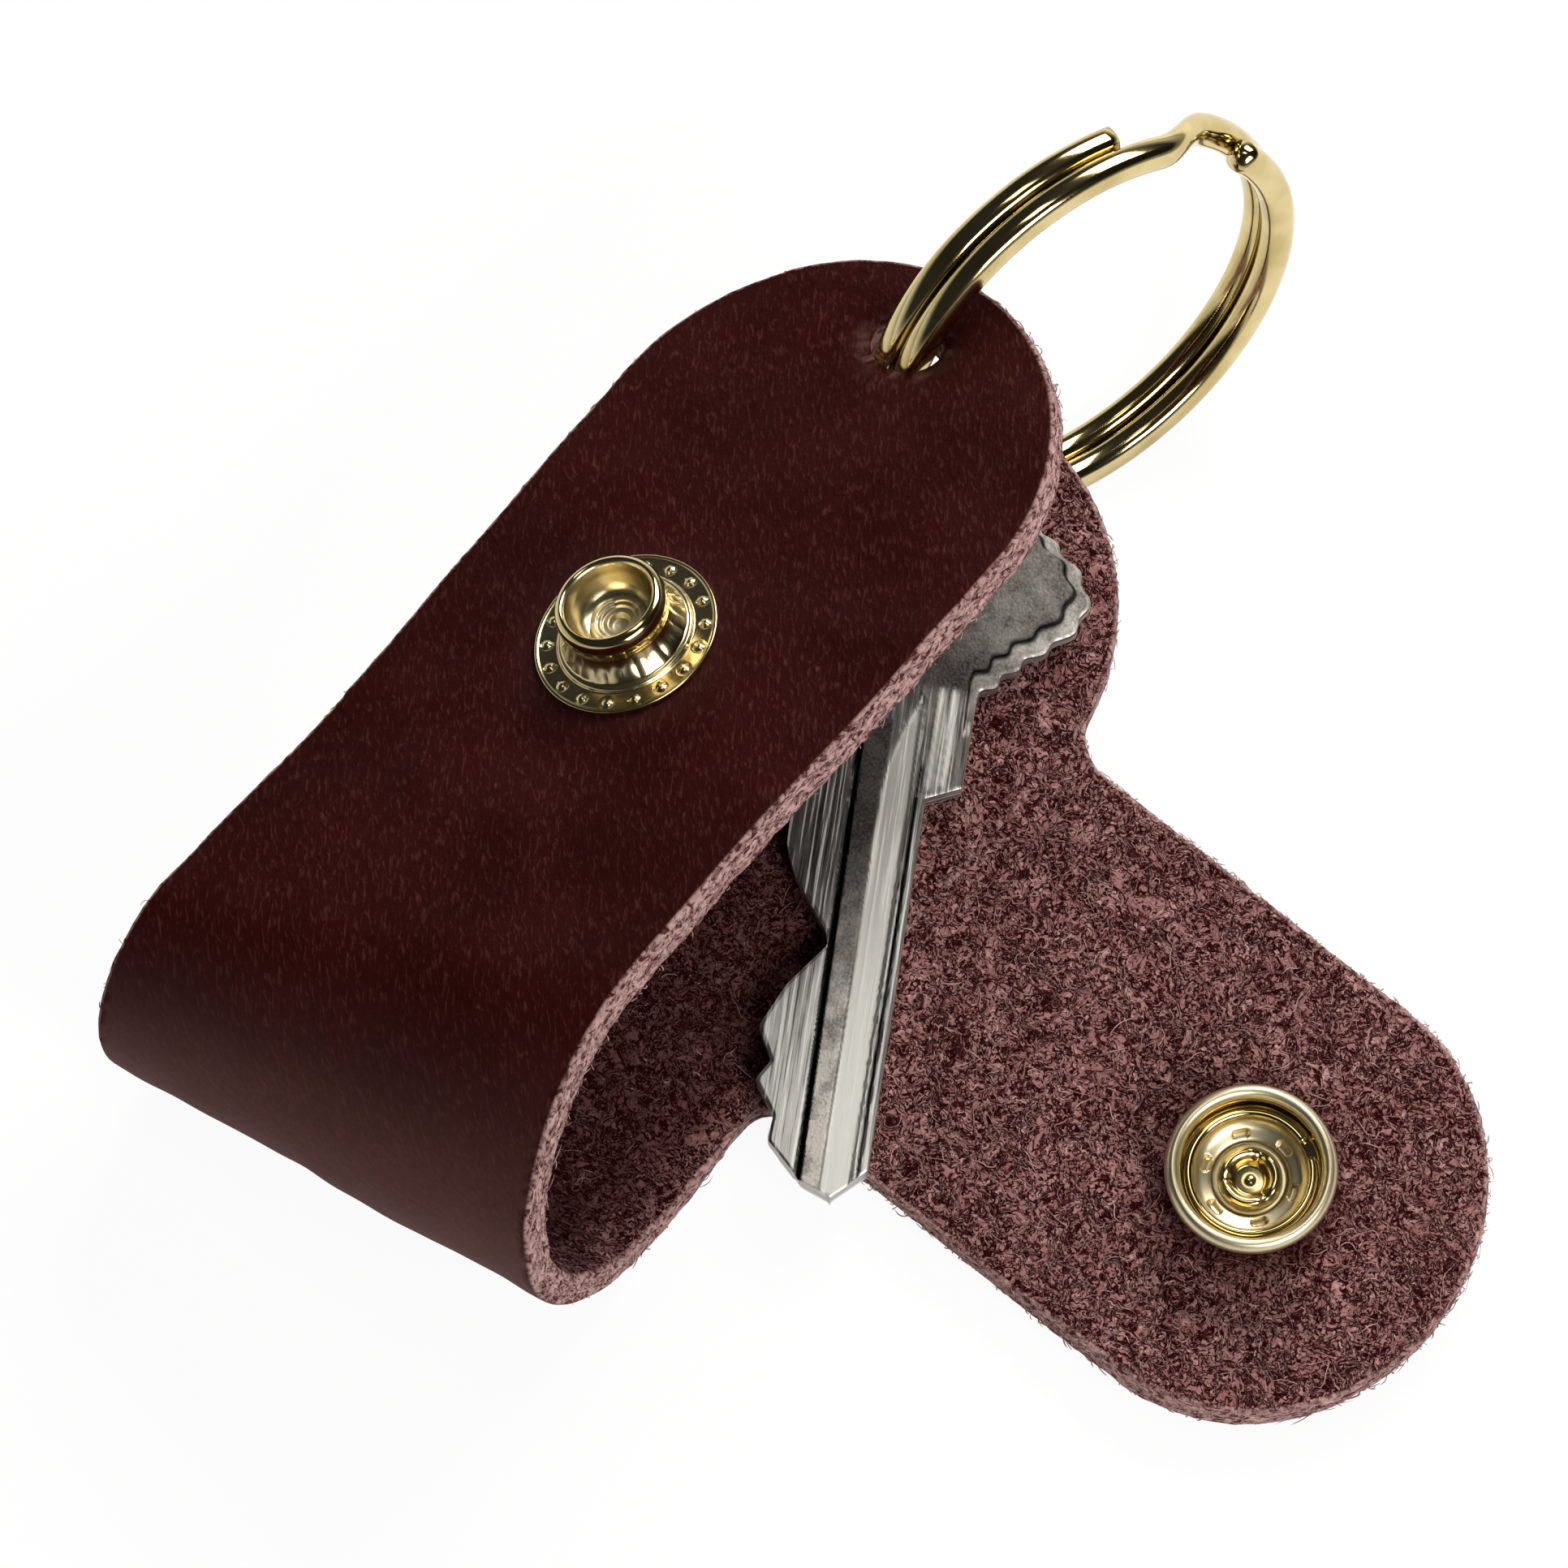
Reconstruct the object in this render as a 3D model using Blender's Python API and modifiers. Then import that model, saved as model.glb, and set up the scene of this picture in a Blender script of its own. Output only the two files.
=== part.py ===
"""Leather key cover: one strap folded in a U, a side tab with a snap, a split ring and a key.

The leather is one flat cut. Its pattern lies in the XY plane with the flesh side up (+Z): x runs across
the strap towards the tab, y runs along the strap towards the ring end of the back panel. The fold is a
slanted cone, tight on the left and open on the right, so the front panel stands open like a book.
All lengths are metres, all angles degrees.
"""
import math

import bpy
import bmesh
import numpy as np
from mathutils import Matrix, Vector

# Leather
leather_thickness = 0.0022
head_radius = 0.0161
waist_half_width = 0.0157
fold_half_width = 0.0166
fold_clearance = 0.0027         # from the tab's root to where the fold starts
back_head_distance = 0.0145     # from the tab's centre line to the centre of the back head
head_setback = 0.0009           # how much shorter the front panel is than the back panel
seam_gap = 0.0003               # running gap between pieces that touch
tab_half_width = 0.01505
tab_reach = 0.0578              # from the strap's centre line to the tip of the tab
tab_round_depth = 0.0138        # length of the rounded end
tab_bend_start = 0.0196
tab_bend_length = 0.0064
upper_fillet = 0.0034
lower_fillet = 0.0022
ring_hole_distance = 0.0090     # from a head's centre to its ring hole
ring_hole_radius = 0.0034
strap_samples = 18
arc_samples = 30

# Fold
apex_distance = 0.0514          # from the cone's tip to the strap's centre line
back_bend_angle = 19.4
front_bend_angle = 18.7
fold_turn = 192.3
fold_columns = 6
fold_rows = 22

# Snap, male half
stud_closed_x = -0.0017         # where the snap lies across the closed cover
stud_setback = 0.0023           # how much nearer the fold the stud is than the tab's centre line
stud_flange_radius = 0.0060
stud_flange_thickness = 0.00035
stud_shoulder_radius = 0.0041
stud_shoulder_height = 0.0009
stud_neck_radius = 0.0029
stud_neck_height = 0.0022
stud_head_radius = 0.0036
stud_height = 0.00395
stud_rim_radius = 0.0028        # inner edge of the rolled rim
stud_floor_radius = 0.0023
stud_floor_height = 0.0015
stud_wall = 0.0004
post_radius = 0.0015
post_bore_radius = 0.0010
post_flange_radius = 0.0046
post_flange_thickness = 0.0005
post_roll_radius = 0.0020
post_roll_height = 0.0005

# Snap, female half
socket_place = 0.0429           # from the strap's centre line to the snap in the tab
socket_radius = 0.0054
socket_height = 0.0039
socket_mouth_radius = 0.0047
socket_opening_radius = 0.00378
socket_throat_depth = 0.0009    # from the mouth down to the opening
socket_groove_radius = 0.0044
socket_groove_height = 0.0010
socket_floor_radius = 0.0033
socket_floor_thickness = 0.0004
socket_bore_radius = 0.0018
spring_radius = 0.00389
spring_wire_radius = 0.0003
spring_split = 26.0
cap_radius = 0.0062
cap_height = 0.0016
cap_edge_radius = 0.0005
cap_crown = 0.0009
barrel_radius = 0.0015
barrel_bore_radius = 0.0010
barrel_roll_radius = 0.0021
barrel_roll_height = 0.0009

# Split ring
ring_outer_diameter = 0.0319
ring_wire_radial = 0.0021
ring_wire_axial = 0.0015
ring_turn_gap = 0.00045
ring_yaw = 15.8                 # how far the ring leans towards the tab
ring_hole_aside = 0.00037       # the back hole lies this much towards the tab
ring_hinge_azimuth = 112.0      # the line about which the ring gives way as the cover closes
ring_hinge_rise = -9.7
ring_hinge_inwards = 0.0093
ring_hinge_below = 0.0097
ring_follow_angle = 18.4
ring_tip_angle = 63.0
ring_cross_angle = 26.0
ring_turns = 2
ring_steps_per_turn = 44
ring_section_points = 8

# Key
key_thickness = 0.0020
key_blade_length = 0.0274
key_blade_half = 0.0043
key_tip_aside = 0.0021          # the tip lies this far to the spine's side
key_tip_chamfer = 0.0021
key_stub_half = 0.0065
key_stub_chamfer = 0.0010
key_bow_centre = 0.0145         # from the shoulder
key_bow_radius = 0.0098         # between the bow's lobes
key_lobe_height = 0.0029
key_lobe_places = (0.0, 91.0, -91.0)
key_lobe_spread = 19.0
key_scallops = 44
key_scallop_depth = 0.00022
key_bow_samples = 132
key_hole_centre = 0.0201        # from the shoulder
key_hole_half_width = 0.0054
key_hole_half_height = 0.0046
key_ring_along = 0.0201         # where the ring's wire runs through the key, from the shoulder
key_ring_aside = 0.00155        # and to the spine side of its centre line
key_angle = -59.5               # direction of the blade, from the tab's direction
key_lift = 0.0003
key_slot_depth = 0.0005
key_slot_half = 0.0002
key_slot_place = 0.0003         # on the cut side of the centre line
key_channel_depth = 0.0004
key_channel_half = 0.0010
key_channel_place = 0.0024      # on the spine side of the centre line
# The cuts, from the tip to the shoulder, as shares of the blade's length and of its half height
cut_profile_shares = ((0.03, -0.05), (0.12, 0.53), (0.18, 0.49), (0.26, 0.84), (0.31, 0.65), (0.39, 0.91),
                      (0.50, 0.60), (0.61, 0.09), (0.64, 0.14), (0.77, 0.74), (0.84, 0.92), (0.95, 0.95))

# What the closed snap asks for
snap_play = 0.0001
half_leather = leather_thickness / 2
pocket_depth = key_lift + key_thickness + seam_gap + post_flange_thickness + seam_gap
closed_front_height = leather_thickness + pocket_depth
snap_stack = seam_gap + stud_height + snap_play + socket_floor_thickness + seam_gap
closed_tab_height = closed_front_height + leather_thickness + snap_stack
turn_steps = 36

tab_root = tab_half_width + lower_fillet
fold_distance = tab_root + fold_clearance + (fold_half_width + apex_distance) * math.tan(math.radians(back_bend_angle))
back_reach = fold_distance + back_head_distance
front_reach = back_reach - head_setback
stud_reach = fold_distance - stud_setback
fold_y = -fold_distance         # the fold line, from the tab's centre line
apex = np.array([-apex_distance, fold_y, 0.0])
overrun = 0.001


def start_scene():
    for item in list(bpy.data.objects):
        bpy.data.objects.remove(item, do_unlink=True)
    parts = bpy.data.collections.new("key_cover")
    cutters = bpy.data.collections.new("cutters")
    bpy.context.scene.collection.children.link(parts)
    bpy.context.scene.collection.children.link(cutters)
    return parts, cutters


parts, cutters = start_scene()


def make_material(name, colour, roughness, metallic):
    made = bpy.data.materials.new(name)
    made.use_nodes = True
    shader = made.node_tree.nodes["Principled BSDF"]
    shader.inputs["Base Color"].default_value = (*colour, 1.0)
    shader.inputs["Roughness"].default_value = roughness
    shader.inputs["Metallic"].default_value = metallic
    return made


def make_empty(name, matrix, parent=None):
    empty = bpy.data.objects.new(name, None)
    parts.objects.link(empty)
    empty.parent = parent
    empty.matrix_world = matrix
    return empty


def place(name, data, matrix, material, parent):
    """Link an object, put it at a world matrix and hang it on its parent."""
    item = bpy.data.objects.new(name, data)
    parts.objects.link(item)
    data.materials.append(material)
    item.parent = parent
    bpy.context.view_layer.update()
    item.matrix_world = matrix
    return item


def frame_matrix(x_axis, y_axis, z_axis, origin):
    columns = np.column_stack([x_axis, y_axis, z_axis, origin])
    return Matrix([*columns.tolist(), [0, 0, 0, 1]])


def unit(v):
    return v / np.linalg.norm(v)


def turn_about(axis, angle):
    """Rotation matrix for a turn in radians about a unit axis."""
    k = np.array([[0, -axis[2], axis[1]], [axis[2], 0, -axis[0]], [-axis[1], axis[0], 0]])
    return np.eye(3) + math.sin(angle) * k + (1 - math.cos(angle)) * (k @ k)


# The cone of the fold, as directions in the back panel's frame

back_bend = math.radians(back_bend_angle)
front_bend = math.radians(front_bend_angle)
turn = math.radians(fold_turn)
sine = (back_bend + front_bend) / turn
cosine = math.sqrt(1 - sine * sine)
up = np.array([0.0, 0.0, 1.0])
first_ruling = np.array([math.cos(back_bend), math.sin(back_bend), 0.0])
cone_outward = np.array([math.sin(back_bend), -math.cos(back_bend), 0.0])
cone_axis = cosine * first_ruling + sine * up
cone_down = (first_ruling - cosine * cone_axis) / sine


def ruling(phi):
    """Direction of the cone's straight line at a turn of phi from the back panel."""
    return cosine * cone_axis + sine * (math.cos(phi) * cone_down + math.sin(phi) * cone_outward)


def front_frame():
    """Axes of the flat pattern where it has become the front panel, and its origin."""
    last = ruling(turn)
    onward = -math.sin(turn) * cone_down + math.cos(turn) * cone_outward
    x_axis = math.cos(front_bend) * last - math.sin(front_bend) * onward
    y_axis = -math.sin(front_bend) * last - math.cos(front_bend) * onward
    z_axis = np.cross(x_axis, y_axis)
    origin = apex - x_axis * apex[0] - y_axis * apex[1]
    return np.column_stack([x_axis, y_axis, z_axis]), origin


def closing_hinge(open_axes, open_origin):
    """The axis about which the rigid front panel turns until it lies over the back panel.

    Closed, the pattern is mirrored at the fold line and lies at the closed height. The slack along the
    strap is whatever makes the motion a plain turn, with no slide along its axis.
    """
    closed_axes = np.diag([1.0, -1.0, -1.0])
    rotation = closed_axes @ open_axes.T
    angle = math.acos((np.trace(rotation) - 1) / 2)
    axis = unit(np.array([rotation[2, 1] - rotation[1, 2], rotation[0, 2] - rotation[2, 0],
                          rotation[1, 0] - rotation[0, 1]]))
    closed_origin = np.array([0.0, 2 * fold_y, closed_front_height])
    travel = closed_origin - rotation @ open_origin
    slack = -(travel @ axis) / axis[1]
    closed_origin[1] += slack
    travel[1] += slack
    point = np.linalg.lstsq(np.eye(3) - rotation, travel, rcond=None)[0]
    return rotation, angle, axis, point, closed_origin


front_axes, front_origin = front_frame()
closing, closing_angle, front_hinge_axis, front_hinge_point, closed_origin = closing_hinge(front_axes, front_origin)


def on_front(x, y, z=0.0):
    return front_axes @ np.array([x, y, z]) + front_origin


# The snap: the tab turns over by half a turn, so its hinge lies midway between socket and closed stud
stud_place = np.array([stud_closed_x, fold_y - stud_reach])
closed_stud = np.array([stud_closed_x, closed_origin[1] - stud_place[1], closed_tab_height])
socket_centre = np.array([socket_place, 0.0, 0.0])
tab_hinge_point = (socket_centre + closed_stud) / 2
tab_direction = unit((socket_centre - closed_stud) * np.array([1.0, 1.0, 0.0]))
tab_hinge_axis = np.cross(tab_direction, up)
bend_slope = tab_direction[1] / tab_direction[0]

# The ring runs through the middle of both holes
hole_back = np.array([ring_hole_aside, back_head_distance + ring_hole_distance])
hole_front = np.array([0.0, fold_y - front_reach - ring_hole_distance])
cross_back = np.array([0.0, hole_back[1], 0.0])
cross_front = on_front(*hole_front)
ring_radius = (ring_outer_diameter - ring_wire_radial) / 2
chord = cross_front - cross_back
chord_axis = unit(chord)
outwards = unit(np.array([0.0, 1.0, 0.0]) - chord_axis[1] * chord_axis)
sideways = np.cross(outwards, chord_axis)
yaw = math.radians(ring_yaw)
ring_out = math.cos(yaw) * outwards + math.sin(yaw) * sideways
ring_centre = (cross_front + cross_back) / 2 + ring_out * math.sqrt(ring_radius ** 2 - (chord @ chord) / 4)
ring_normal = np.cross(ring_out, chord_axis)
ring_hinge_point = ring_centre - np.array([0.0, ring_hinge_inwards, ring_hinge_below])
hinge_azimuth, hinge_rise = math.radians(ring_hinge_azimuth), math.radians(ring_hinge_rise)
ring_hinge_axis = np.array([math.cos(hinge_rise) * math.cos(hinge_azimuth),
                            math.cos(hinge_rise) * math.sin(hinge_azimuth), math.sin(hinge_rise)])


def ring_point_at_height(height):
    """Where the hidden arc of the ring crosses a level above the back panel."""
    along = unit(up - (up @ ring_normal) * ring_normal)
    across = np.cross(ring_normal, along)
    if across[1] > 0:
        across = -across
    rise = (height - ring_centre[2]) / along[2]
    return ring_centre + rise * along + math.sqrt(ring_radius ** 2 - rise ** 2) * across


key_level = half_leather + key_lift + key_thickness / 2
key_pivot = ring_point_at_height(key_level)


# How the open cover lies on a table: on the ring, on the snap's cap and on the back panel's left corner

def resting_matrix():
    lift = unit(up - (up @ ring_normal) * ring_normal)
    layer = (ring_wire_axial + ring_turn_gap) / 2
    ring_low = ring_centre - lift * ring_outer_diameter / 2 - math.copysign(layer, ring_normal[2]) * ring_normal
    cap_low = socket_centre - up * (half_leather + seam_gap + cap_height)
    left_x = -fold_half_width
    corner_low = np.array([left_x, fold_y + (left_x - apex[0]) * math.tan(back_bend), -half_leather])
    normal = unit(np.cross(cap_low - corner_low, ring_low - corner_low))
    if normal[2] < 0:
        normal = -normal
    x_axis = unit(np.array([1.0, 0.0, 0.0]) - normal[0] * normal)
    axes = np.array([x_axis, np.cross(normal, x_axis), normal])
    return frame_matrix(*axes.T, np.zeros(3))


rest = resting_matrix()
identity = np.eye(3)
back_matrix = rest @ frame_matrix(*identity, np.zeros(3))
front_matrix = rest @ frame_matrix(*front_axes.T, front_origin)

leather = make_material("leather", (0.075, 0.021, 0.022), 0.55, 0.0)
brass = make_material("brass", (0.72, 0.56, 0.27), 0.25, 1.0)
steel = make_material("nickel_silver", (0.62, 0.61, 0.57), 0.35, 1.0)

cover = make_empty("cover", Matrix.Identity(4))
back_body = make_empty("back_body", back_matrix, cover)
front_body = make_empty("front_body", rest @ frame_matrix(*identity, front_hinge_point), cover)
tab_body = make_empty("tab_body", rest @ frame_matrix(*identity, tab_hinge_point), cover)
ring_body = make_empty("ring_body", rest @ frame_matrix(*identity, ring_hinge_point), cover)
key_body = make_empty("key_body", rest @ frame_matrix(*identity, key_pivot), cover)


# Outlines in the flat pattern

def half_width(share):
    """Half width of a panel, from the fold (0) over the waist to the head's centre (1)."""
    to_waist = (waist_half_width - fold_half_width) * np.sin(np.pi * share) ** 2
    return fold_half_width + to_waist + (head_radius - fold_half_width) * share ** 2


def arc(centre, radius, start, end, count, squash=1.0):
    angles = np.radians(np.linspace(start, end, count))
    return np.column_stack([centre[0] + squash * radius * np.cos(angles), centre[1] + radius * np.sin(angles)])


def circle(centre, radius, count=arc_samples):
    return arc(centre, radius, 0, 360, count + 1)[:-1]


def panel_edge(side, bend, reach, direction):
    """One long edge of a panel, from its line with the fold to the head's centre."""
    lean = math.tan(bend)
    share = np.linspace(0, 1, strap_samples * 4)
    x = side * half_width(share)
    y = fold_y + direction * reach * share
    line = fold_y + direction * ((x - apex[0]) * lean + seam_gap / math.cos(bend))
    keep = (y - line) * direction > 0
    first = np.argmax(keep)
    start = (x[first - 1], line[first - 1])
    edge = np.column_stack([x[keep], y[keep]])[::4]
    return np.vstack([start, edge, (side * half_width(1.0), fold_y + direction * reach)])


def bend_line(x):
    """The straight line across the tab, square to its fold, that starts a piece at x."""
    return [(x + side * tab_half_width * -bend_slope, side * tab_half_width) for side in (-1, 1)]


def back_outline():
    head = np.array([0.0, back_head_distance])
    upper_centre_y = tab_half_width + upper_fillet
    upper_centre_x = math.sqrt((head_radius + upper_fillet) ** 2 - (upper_centre_y - head[1]) ** 2)
    touch = math.degrees(math.atan2(upper_centre_y - head[1], upper_centre_x))
    left = panel_edge(-1, back_bend, back_reach, 1)
    right = panel_edge(1, back_bend, back_reach, 1)
    corner_x = float(np.interp(-tab_root, right[:, 1], right[:, 0]))
    right = right[right[:, 1] < -tab_root]
    lower_centre = (corner_x + lower_fillet, -tab_root)
    head_arc = arc(head, head_radius, 180, touch, arc_samples)
    upper = arc((upper_centre_x, upper_centre_y), upper_fillet, 180 + touch, 270, arc_samples // 4)
    lower = arc(lower_centre, lower_fillet, 90, 180, arc_samples // 4)
    root = bend_line(tab_bend_start)[::-1]
    return np.vstack([left[:-1], head_arc, upper, root, lower, right[::-1]])


def front_outline():
    head = (0.0, fold_y - front_reach)
    left = panel_edge(-1, front_bend, front_reach, -1)
    right = panel_edge(1, front_bend, front_reach, -1)
    head_arc = arc(head, head_radius, 180, 360, arc_samples)
    return np.vstack([left[:-1], head_arc, right[-2::-1]])


def tab_outline():
    root_x = tab_bend_start + tab_bend_length + seam_gap
    centre = (tab_reach - tab_round_depth, 0.0)
    end = arc(centre, tab_half_width, -90, 90, arc_samples, tab_round_depth / tab_half_width)
    lower, upper = bend_line(root_x)
    return np.vstack([lower, end, upper])


def bend_outline():
    start = tab_bend_start + seam_gap
    end = tab_bend_start + tab_bend_length
    return np.vstack([bend_line(start), bend_line(end)[::-1]])


def flat_piece(name, loops, thickness, matrix, material, parent):
    """A flat cut: a filled 2D curve, extruded by half its thickness to both sides."""
    data = bpy.data.curves.new(name, "CURVE")
    data.dimensions = "2D"
    data.fill_mode = "BOTH"
    data.extrude = thickness / 2
    for loop in loops:
        spline = data.splines.new("POLY")
        spline.points.add(len(loop) - 1)
        for point, (x, y) in zip(spline.points, loop):
            point.co = (x, y, 0, 1)
        spline.use_cyclic_u = True
    return place(name, data, matrix, material, parent)


def conical_fold():
    """The bent leather between the panels: a sheet of straight lines through the cone's tip."""
    mesh = bpy.data.meshes.new("fold")
    sheet = bmesh.new()
    grid = []
    for row in range(fold_rows + 1):
        phi = turn * row / fold_rows
        bend = back_bend - sine * phi
        reach = back_reach if bend > 0 else front_reach
        line = []
        for column in range(fold_columns + 1):
            share = 2 * column / fold_columns - 1
            x = share * fold_half_width
            for _ in range(4):
                along = abs((x - apex[0]) * math.tan(bend)) / reach
                x = share * float(half_width(along))
            distance = (x - apex[0]) / math.cos(bend)
            line.append(sheet.verts.new(apex + distance * ruling(phi)))
        grid.append(line)
    for near, far in zip(grid[:-1], grid[1:]):
        for column in range(fold_columns):
            sheet.faces.new((near[column], near[column + 1], far[column + 1], far[column]))
    sheet.to_mesh(mesh)
    sheet.free()
    mesh.shade_smooth()
    piece = place("fold", mesh, back_matrix, leather, back_body)
    wall = piece.modifiers.new("thickness", "SOLIDIFY")
    wall.thickness = leather_thickness
    wall.offset = 0
    wall.use_even_offset = False
    return piece


def turned(name, profile, matrix, material, parent, closed):
    """A turned piece from a profile of (radius, height), run down its outer side."""
    mesh = bpy.data.meshes.new(name)
    points = [(r, 0.0, z) for r, z in profile]
    count = len(points)
    edges = [(i, (i + 1) % count) for i in range(count if closed else count - 1)]
    mesh.from_pydata(points, edges, [])
    piece = place(name, mesh, matrix, material, parent)
    spin = piece.modifiers.new("spin", "SCREW")
    spin.axis = "Z"
    spin.angle = math.tau
    spin.screw_offset = 0
    spin.steps = turn_steps
    spin.render_steps = turn_steps
    spin.use_merge_vertices = True
    spin.merge_threshold = 0.00001
    spin.use_smooth_shade = True
    return piece


def stud_profile():
    bore = post_radius + seam_gap
    neck_start = stud_shoulder_height
    rim_top = stud_height
    rim_bulge = stud_height - (stud_head_radius - stud_rim_radius)
    rim_mid = (stud_head_radius + stud_rim_radius) / 2
    return [(rim_mid, rim_top), (stud_head_radius, rim_bulge), (stud_neck_radius, stud_neck_height),
            (stud_neck_radius, neck_start + stud_wall), (stud_shoulder_radius - stud_wall, neck_start),
            (stud_shoulder_radius, neck_start - stud_wall), (stud_shoulder_radius, stud_flange_thickness),
            (stud_flange_radius, stud_flange_thickness), (stud_flange_radius, 0.0), (bore, 0.0),
            (bore, stud_floor_height), (stud_floor_radius, stud_floor_height),
            (stud_neck_radius - stud_wall, stud_neck_height), (stud_rim_radius, rim_bulge)]


def post_profile():
    top = half_leather * 2 + seam_gap + stud_floor_height
    roll_base = top + seam_gap
    roll_top = roll_base + post_roll_height
    lip = -post_flange_thickness
    return [(post_radius, roll_top), (post_roll_radius, roll_base + post_roll_height / 2),
            (post_roll_radius, roll_base), (post_radius, roll_base), (post_radius, -seam_gap),
            (post_flange_radius, -seam_gap), (post_flange_radius, lip), (post_bore_radius, lip),
            (post_bore_radius, roll_top)]


def socket_profile():
    bore = barrel_radius + seam_gap
    top = socket_height
    shoulder = top - (socket_radius - socket_mouth_radius)
    throat = top - socket_throat_depth
    groove_top = throat - stud_wall
    groove_low = groove_top - socket_groove_height
    floor_top = socket_floor_thickness
    return [(socket_mouth_radius, top), (socket_radius - stud_wall / 2, top - stud_wall / 2),
            (socket_radius, shoulder), (socket_radius - stud_wall, shoulder - stud_wall),
            (socket_radius - stud_wall, 0.0), (bore, 0.0), (bore, floor_top), (socket_floor_radius, floor_top),
            (socket_opening_radius, groove_low - stud_wall), (socket_opening_radius, groove_low),
            (socket_groove_radius, groove_low), (socket_groove_radius, groove_top),
            (socket_opening_radius, groove_top), (socket_opening_radius, throat)]


def cap_profile():
    """Cap on the grain side with its barrel; heights run from the cap's top (low) to the rolled end."""
    under = cap_height
    through = under + seam_gap + leather_thickness + seam_gap
    roll_base = through + socket_floor_thickness + seam_gap
    roll_top = roll_base + barrel_roll_height
    dome = [(cap_radius * share, cap_crown * share ** 2) for share in (0.9, 0.7, 0.5, 0.3, 0.0)]
    return [(barrel_radius, roll_top), (barrel_roll_radius, roll_base + barrel_roll_height / 2),
            (barrel_roll_radius, roll_base), (barrel_radius, roll_base), (barrel_radius, under),
            (cap_radius - cap_edge_radius, under), (cap_radius, under - cap_edge_radius / 2),
            (cap_radius, cap_crown), *dome, (0.0, under), (barrel_bore_radius, under),
            (barrel_bore_radius, roll_top)]


def socket_spring(matrix, parent):
    """Round wire ring, split, that grips the stud's neck."""
    data = bpy.data.curves.new("socket_spring", "CURVE")
    data.dimensions = "3D"
    data.bevel_depth = spring_wire_radius
    data.bevel_resolution = 1
    data.use_fill_caps = True
    spline = data.splines.new("POLY")
    path = arc((0.0, 0.0), spring_radius, spring_split, 360, arc_samples)
    spline.points.add(len(path) - 1)
    height = socket_height - socket_throat_depth - stud_wall - socket_groove_height / 2
    for point, (x, y) in zip(spline.points, path):
        point.co = (x, y, height, 1)
    return place("socket_spring", data, matrix, brass, parent)


def ring_path():
    """Points of the wire: a turn in one layer, a short crossing, and a turn in the other layer."""
    pitch = ring_wire_axial + ring_turn_gap
    cross = math.radians(ring_cross_angle)
    trim = (ring_wire_axial + ring_turn_gap) / ring_radius
    start = math.radians(ring_tip_angle)
    total = ring_turns * math.tau - cross - 2 * trim
    angle = np.linspace(0, total, ring_turns * ring_steps_per_turn)
    middle = total / 2
    ramp = np.clip((angle - middle) / cross + 0.5, 0, 1)
    layer = (ramp * ramp * (3 - 2 * ramp) - 0.5) * pitch
    turned_to = start + angle
    return np.column_stack([ring_radius * np.cos(turned_to), ring_radius * np.sin(turned_to), -layer])


def split_ring(matrix, parent):
    """The ring's wire, swept by hand so that its section stays square to the ring's axis."""
    path = ring_path()
    count = len(path)
    far = np.arange(count)
    apart = np.linalg.norm(path[:, None] - path[None], axis=2)
    apart[np.abs(far[:, None] - far[None]) < ring_steps_per_turn // 2] = ring_radius
    print("ring: least gap between its turns", round(float(apart.min()) - ring_wire_axial, 6))
    angles = math.tau * (np.arange(ring_section_points) + 0.5) / ring_section_points
    mesh = bpy.data.meshes.new("split_ring")
    wire = bmesh.new()
    rows = []
    for x, y, z in path:
        radial = np.array([x, y, 0.0]) / ring_radius
        rows.append([wire.verts.new(np.array([x, y, z]) + radial * ring_wire_radial / 2 * math.cos(angle)
                                    + up * ring_wire_axial / 2 * math.sin(angle)) for angle in angles])
    for near, ahead in zip(rows[:-1], rows[1:]):
        for i in range(ring_section_points):
            j = (i + 1) % ring_section_points
            wire.faces.new((near[i], near[j], ahead[j], ahead[i]))
    wire.faces.new(rows[0])
    wire.faces.new(rows[-1])
    bmesh.ops.recalc_face_normals(wire, faces=wire.faces)
    wire.to_mesh(mesh)
    wire.free()
    return place("split_ring", mesh, matrix, brass, parent)


def bow_radius(angle):
    """Distance from the bow's centre to its scalloped edge, seen at an angle from the blade's line."""
    lobes = 0.0
    for place_at in key_lobe_places:
        away = (math.degrees(angle) - place_at + 180) % 360 - 180
        lobes += key_lobe_height * math.exp(-(away / key_lobe_spread) ** 2)
    return key_bow_radius + lobes + key_scallop_depth * math.cos(key_scallops * angle)


def key_outline():
    """Outline from the tip along the spine, round the scalloped bow and back along the cuts."""
    tip = -key_blade_length
    neck = math.asin(key_stub_half / key_bow_radius)
    bow = [(key_bow_centre + bow_radius(angle) * math.cos(angle), bow_radius(angle) * math.sin(angle))
           for angle in np.linspace(-math.pi + neck, math.pi - neck, key_bow_samples)]
    spine = [(tip, -key_tip_aside), (tip + key_tip_chamfer, -key_blade_half), (0.0, -key_blade_half),
             (key_stub_chamfer, -key_stub_half)]
    stub = [(key_stub_chamfer, key_stub_half), (0.0, key_blade_half)]
    cuts = [(tip * (1 - along), key_blade_half * height) for along, height in cut_profile_shares[::-1]]
    return np.vstack([spine, bow, stub, cuts])


def cutting_box(name, size, centre, matrix):
    """A closed box cutter in the key's frame."""
    mesh = bpy.data.meshes.new(name)
    box = bmesh.new()
    bmesh.ops.create_cube(box, size=1.0)
    bmesh.ops.scale(box, vec=size, verts=box.verts)
    bmesh.ops.translate(box, vec=centre, verts=box.verts)
    box.to_mesh(mesh)
    box.free()
    cutter = bpy.data.objects.new(name, mesh)
    cutters.objects.link(cutter)
    cutter.matrix_world = matrix
    cutter.hide_render = True
    cutter.display_type = "WIRE"
    return cutter


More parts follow.
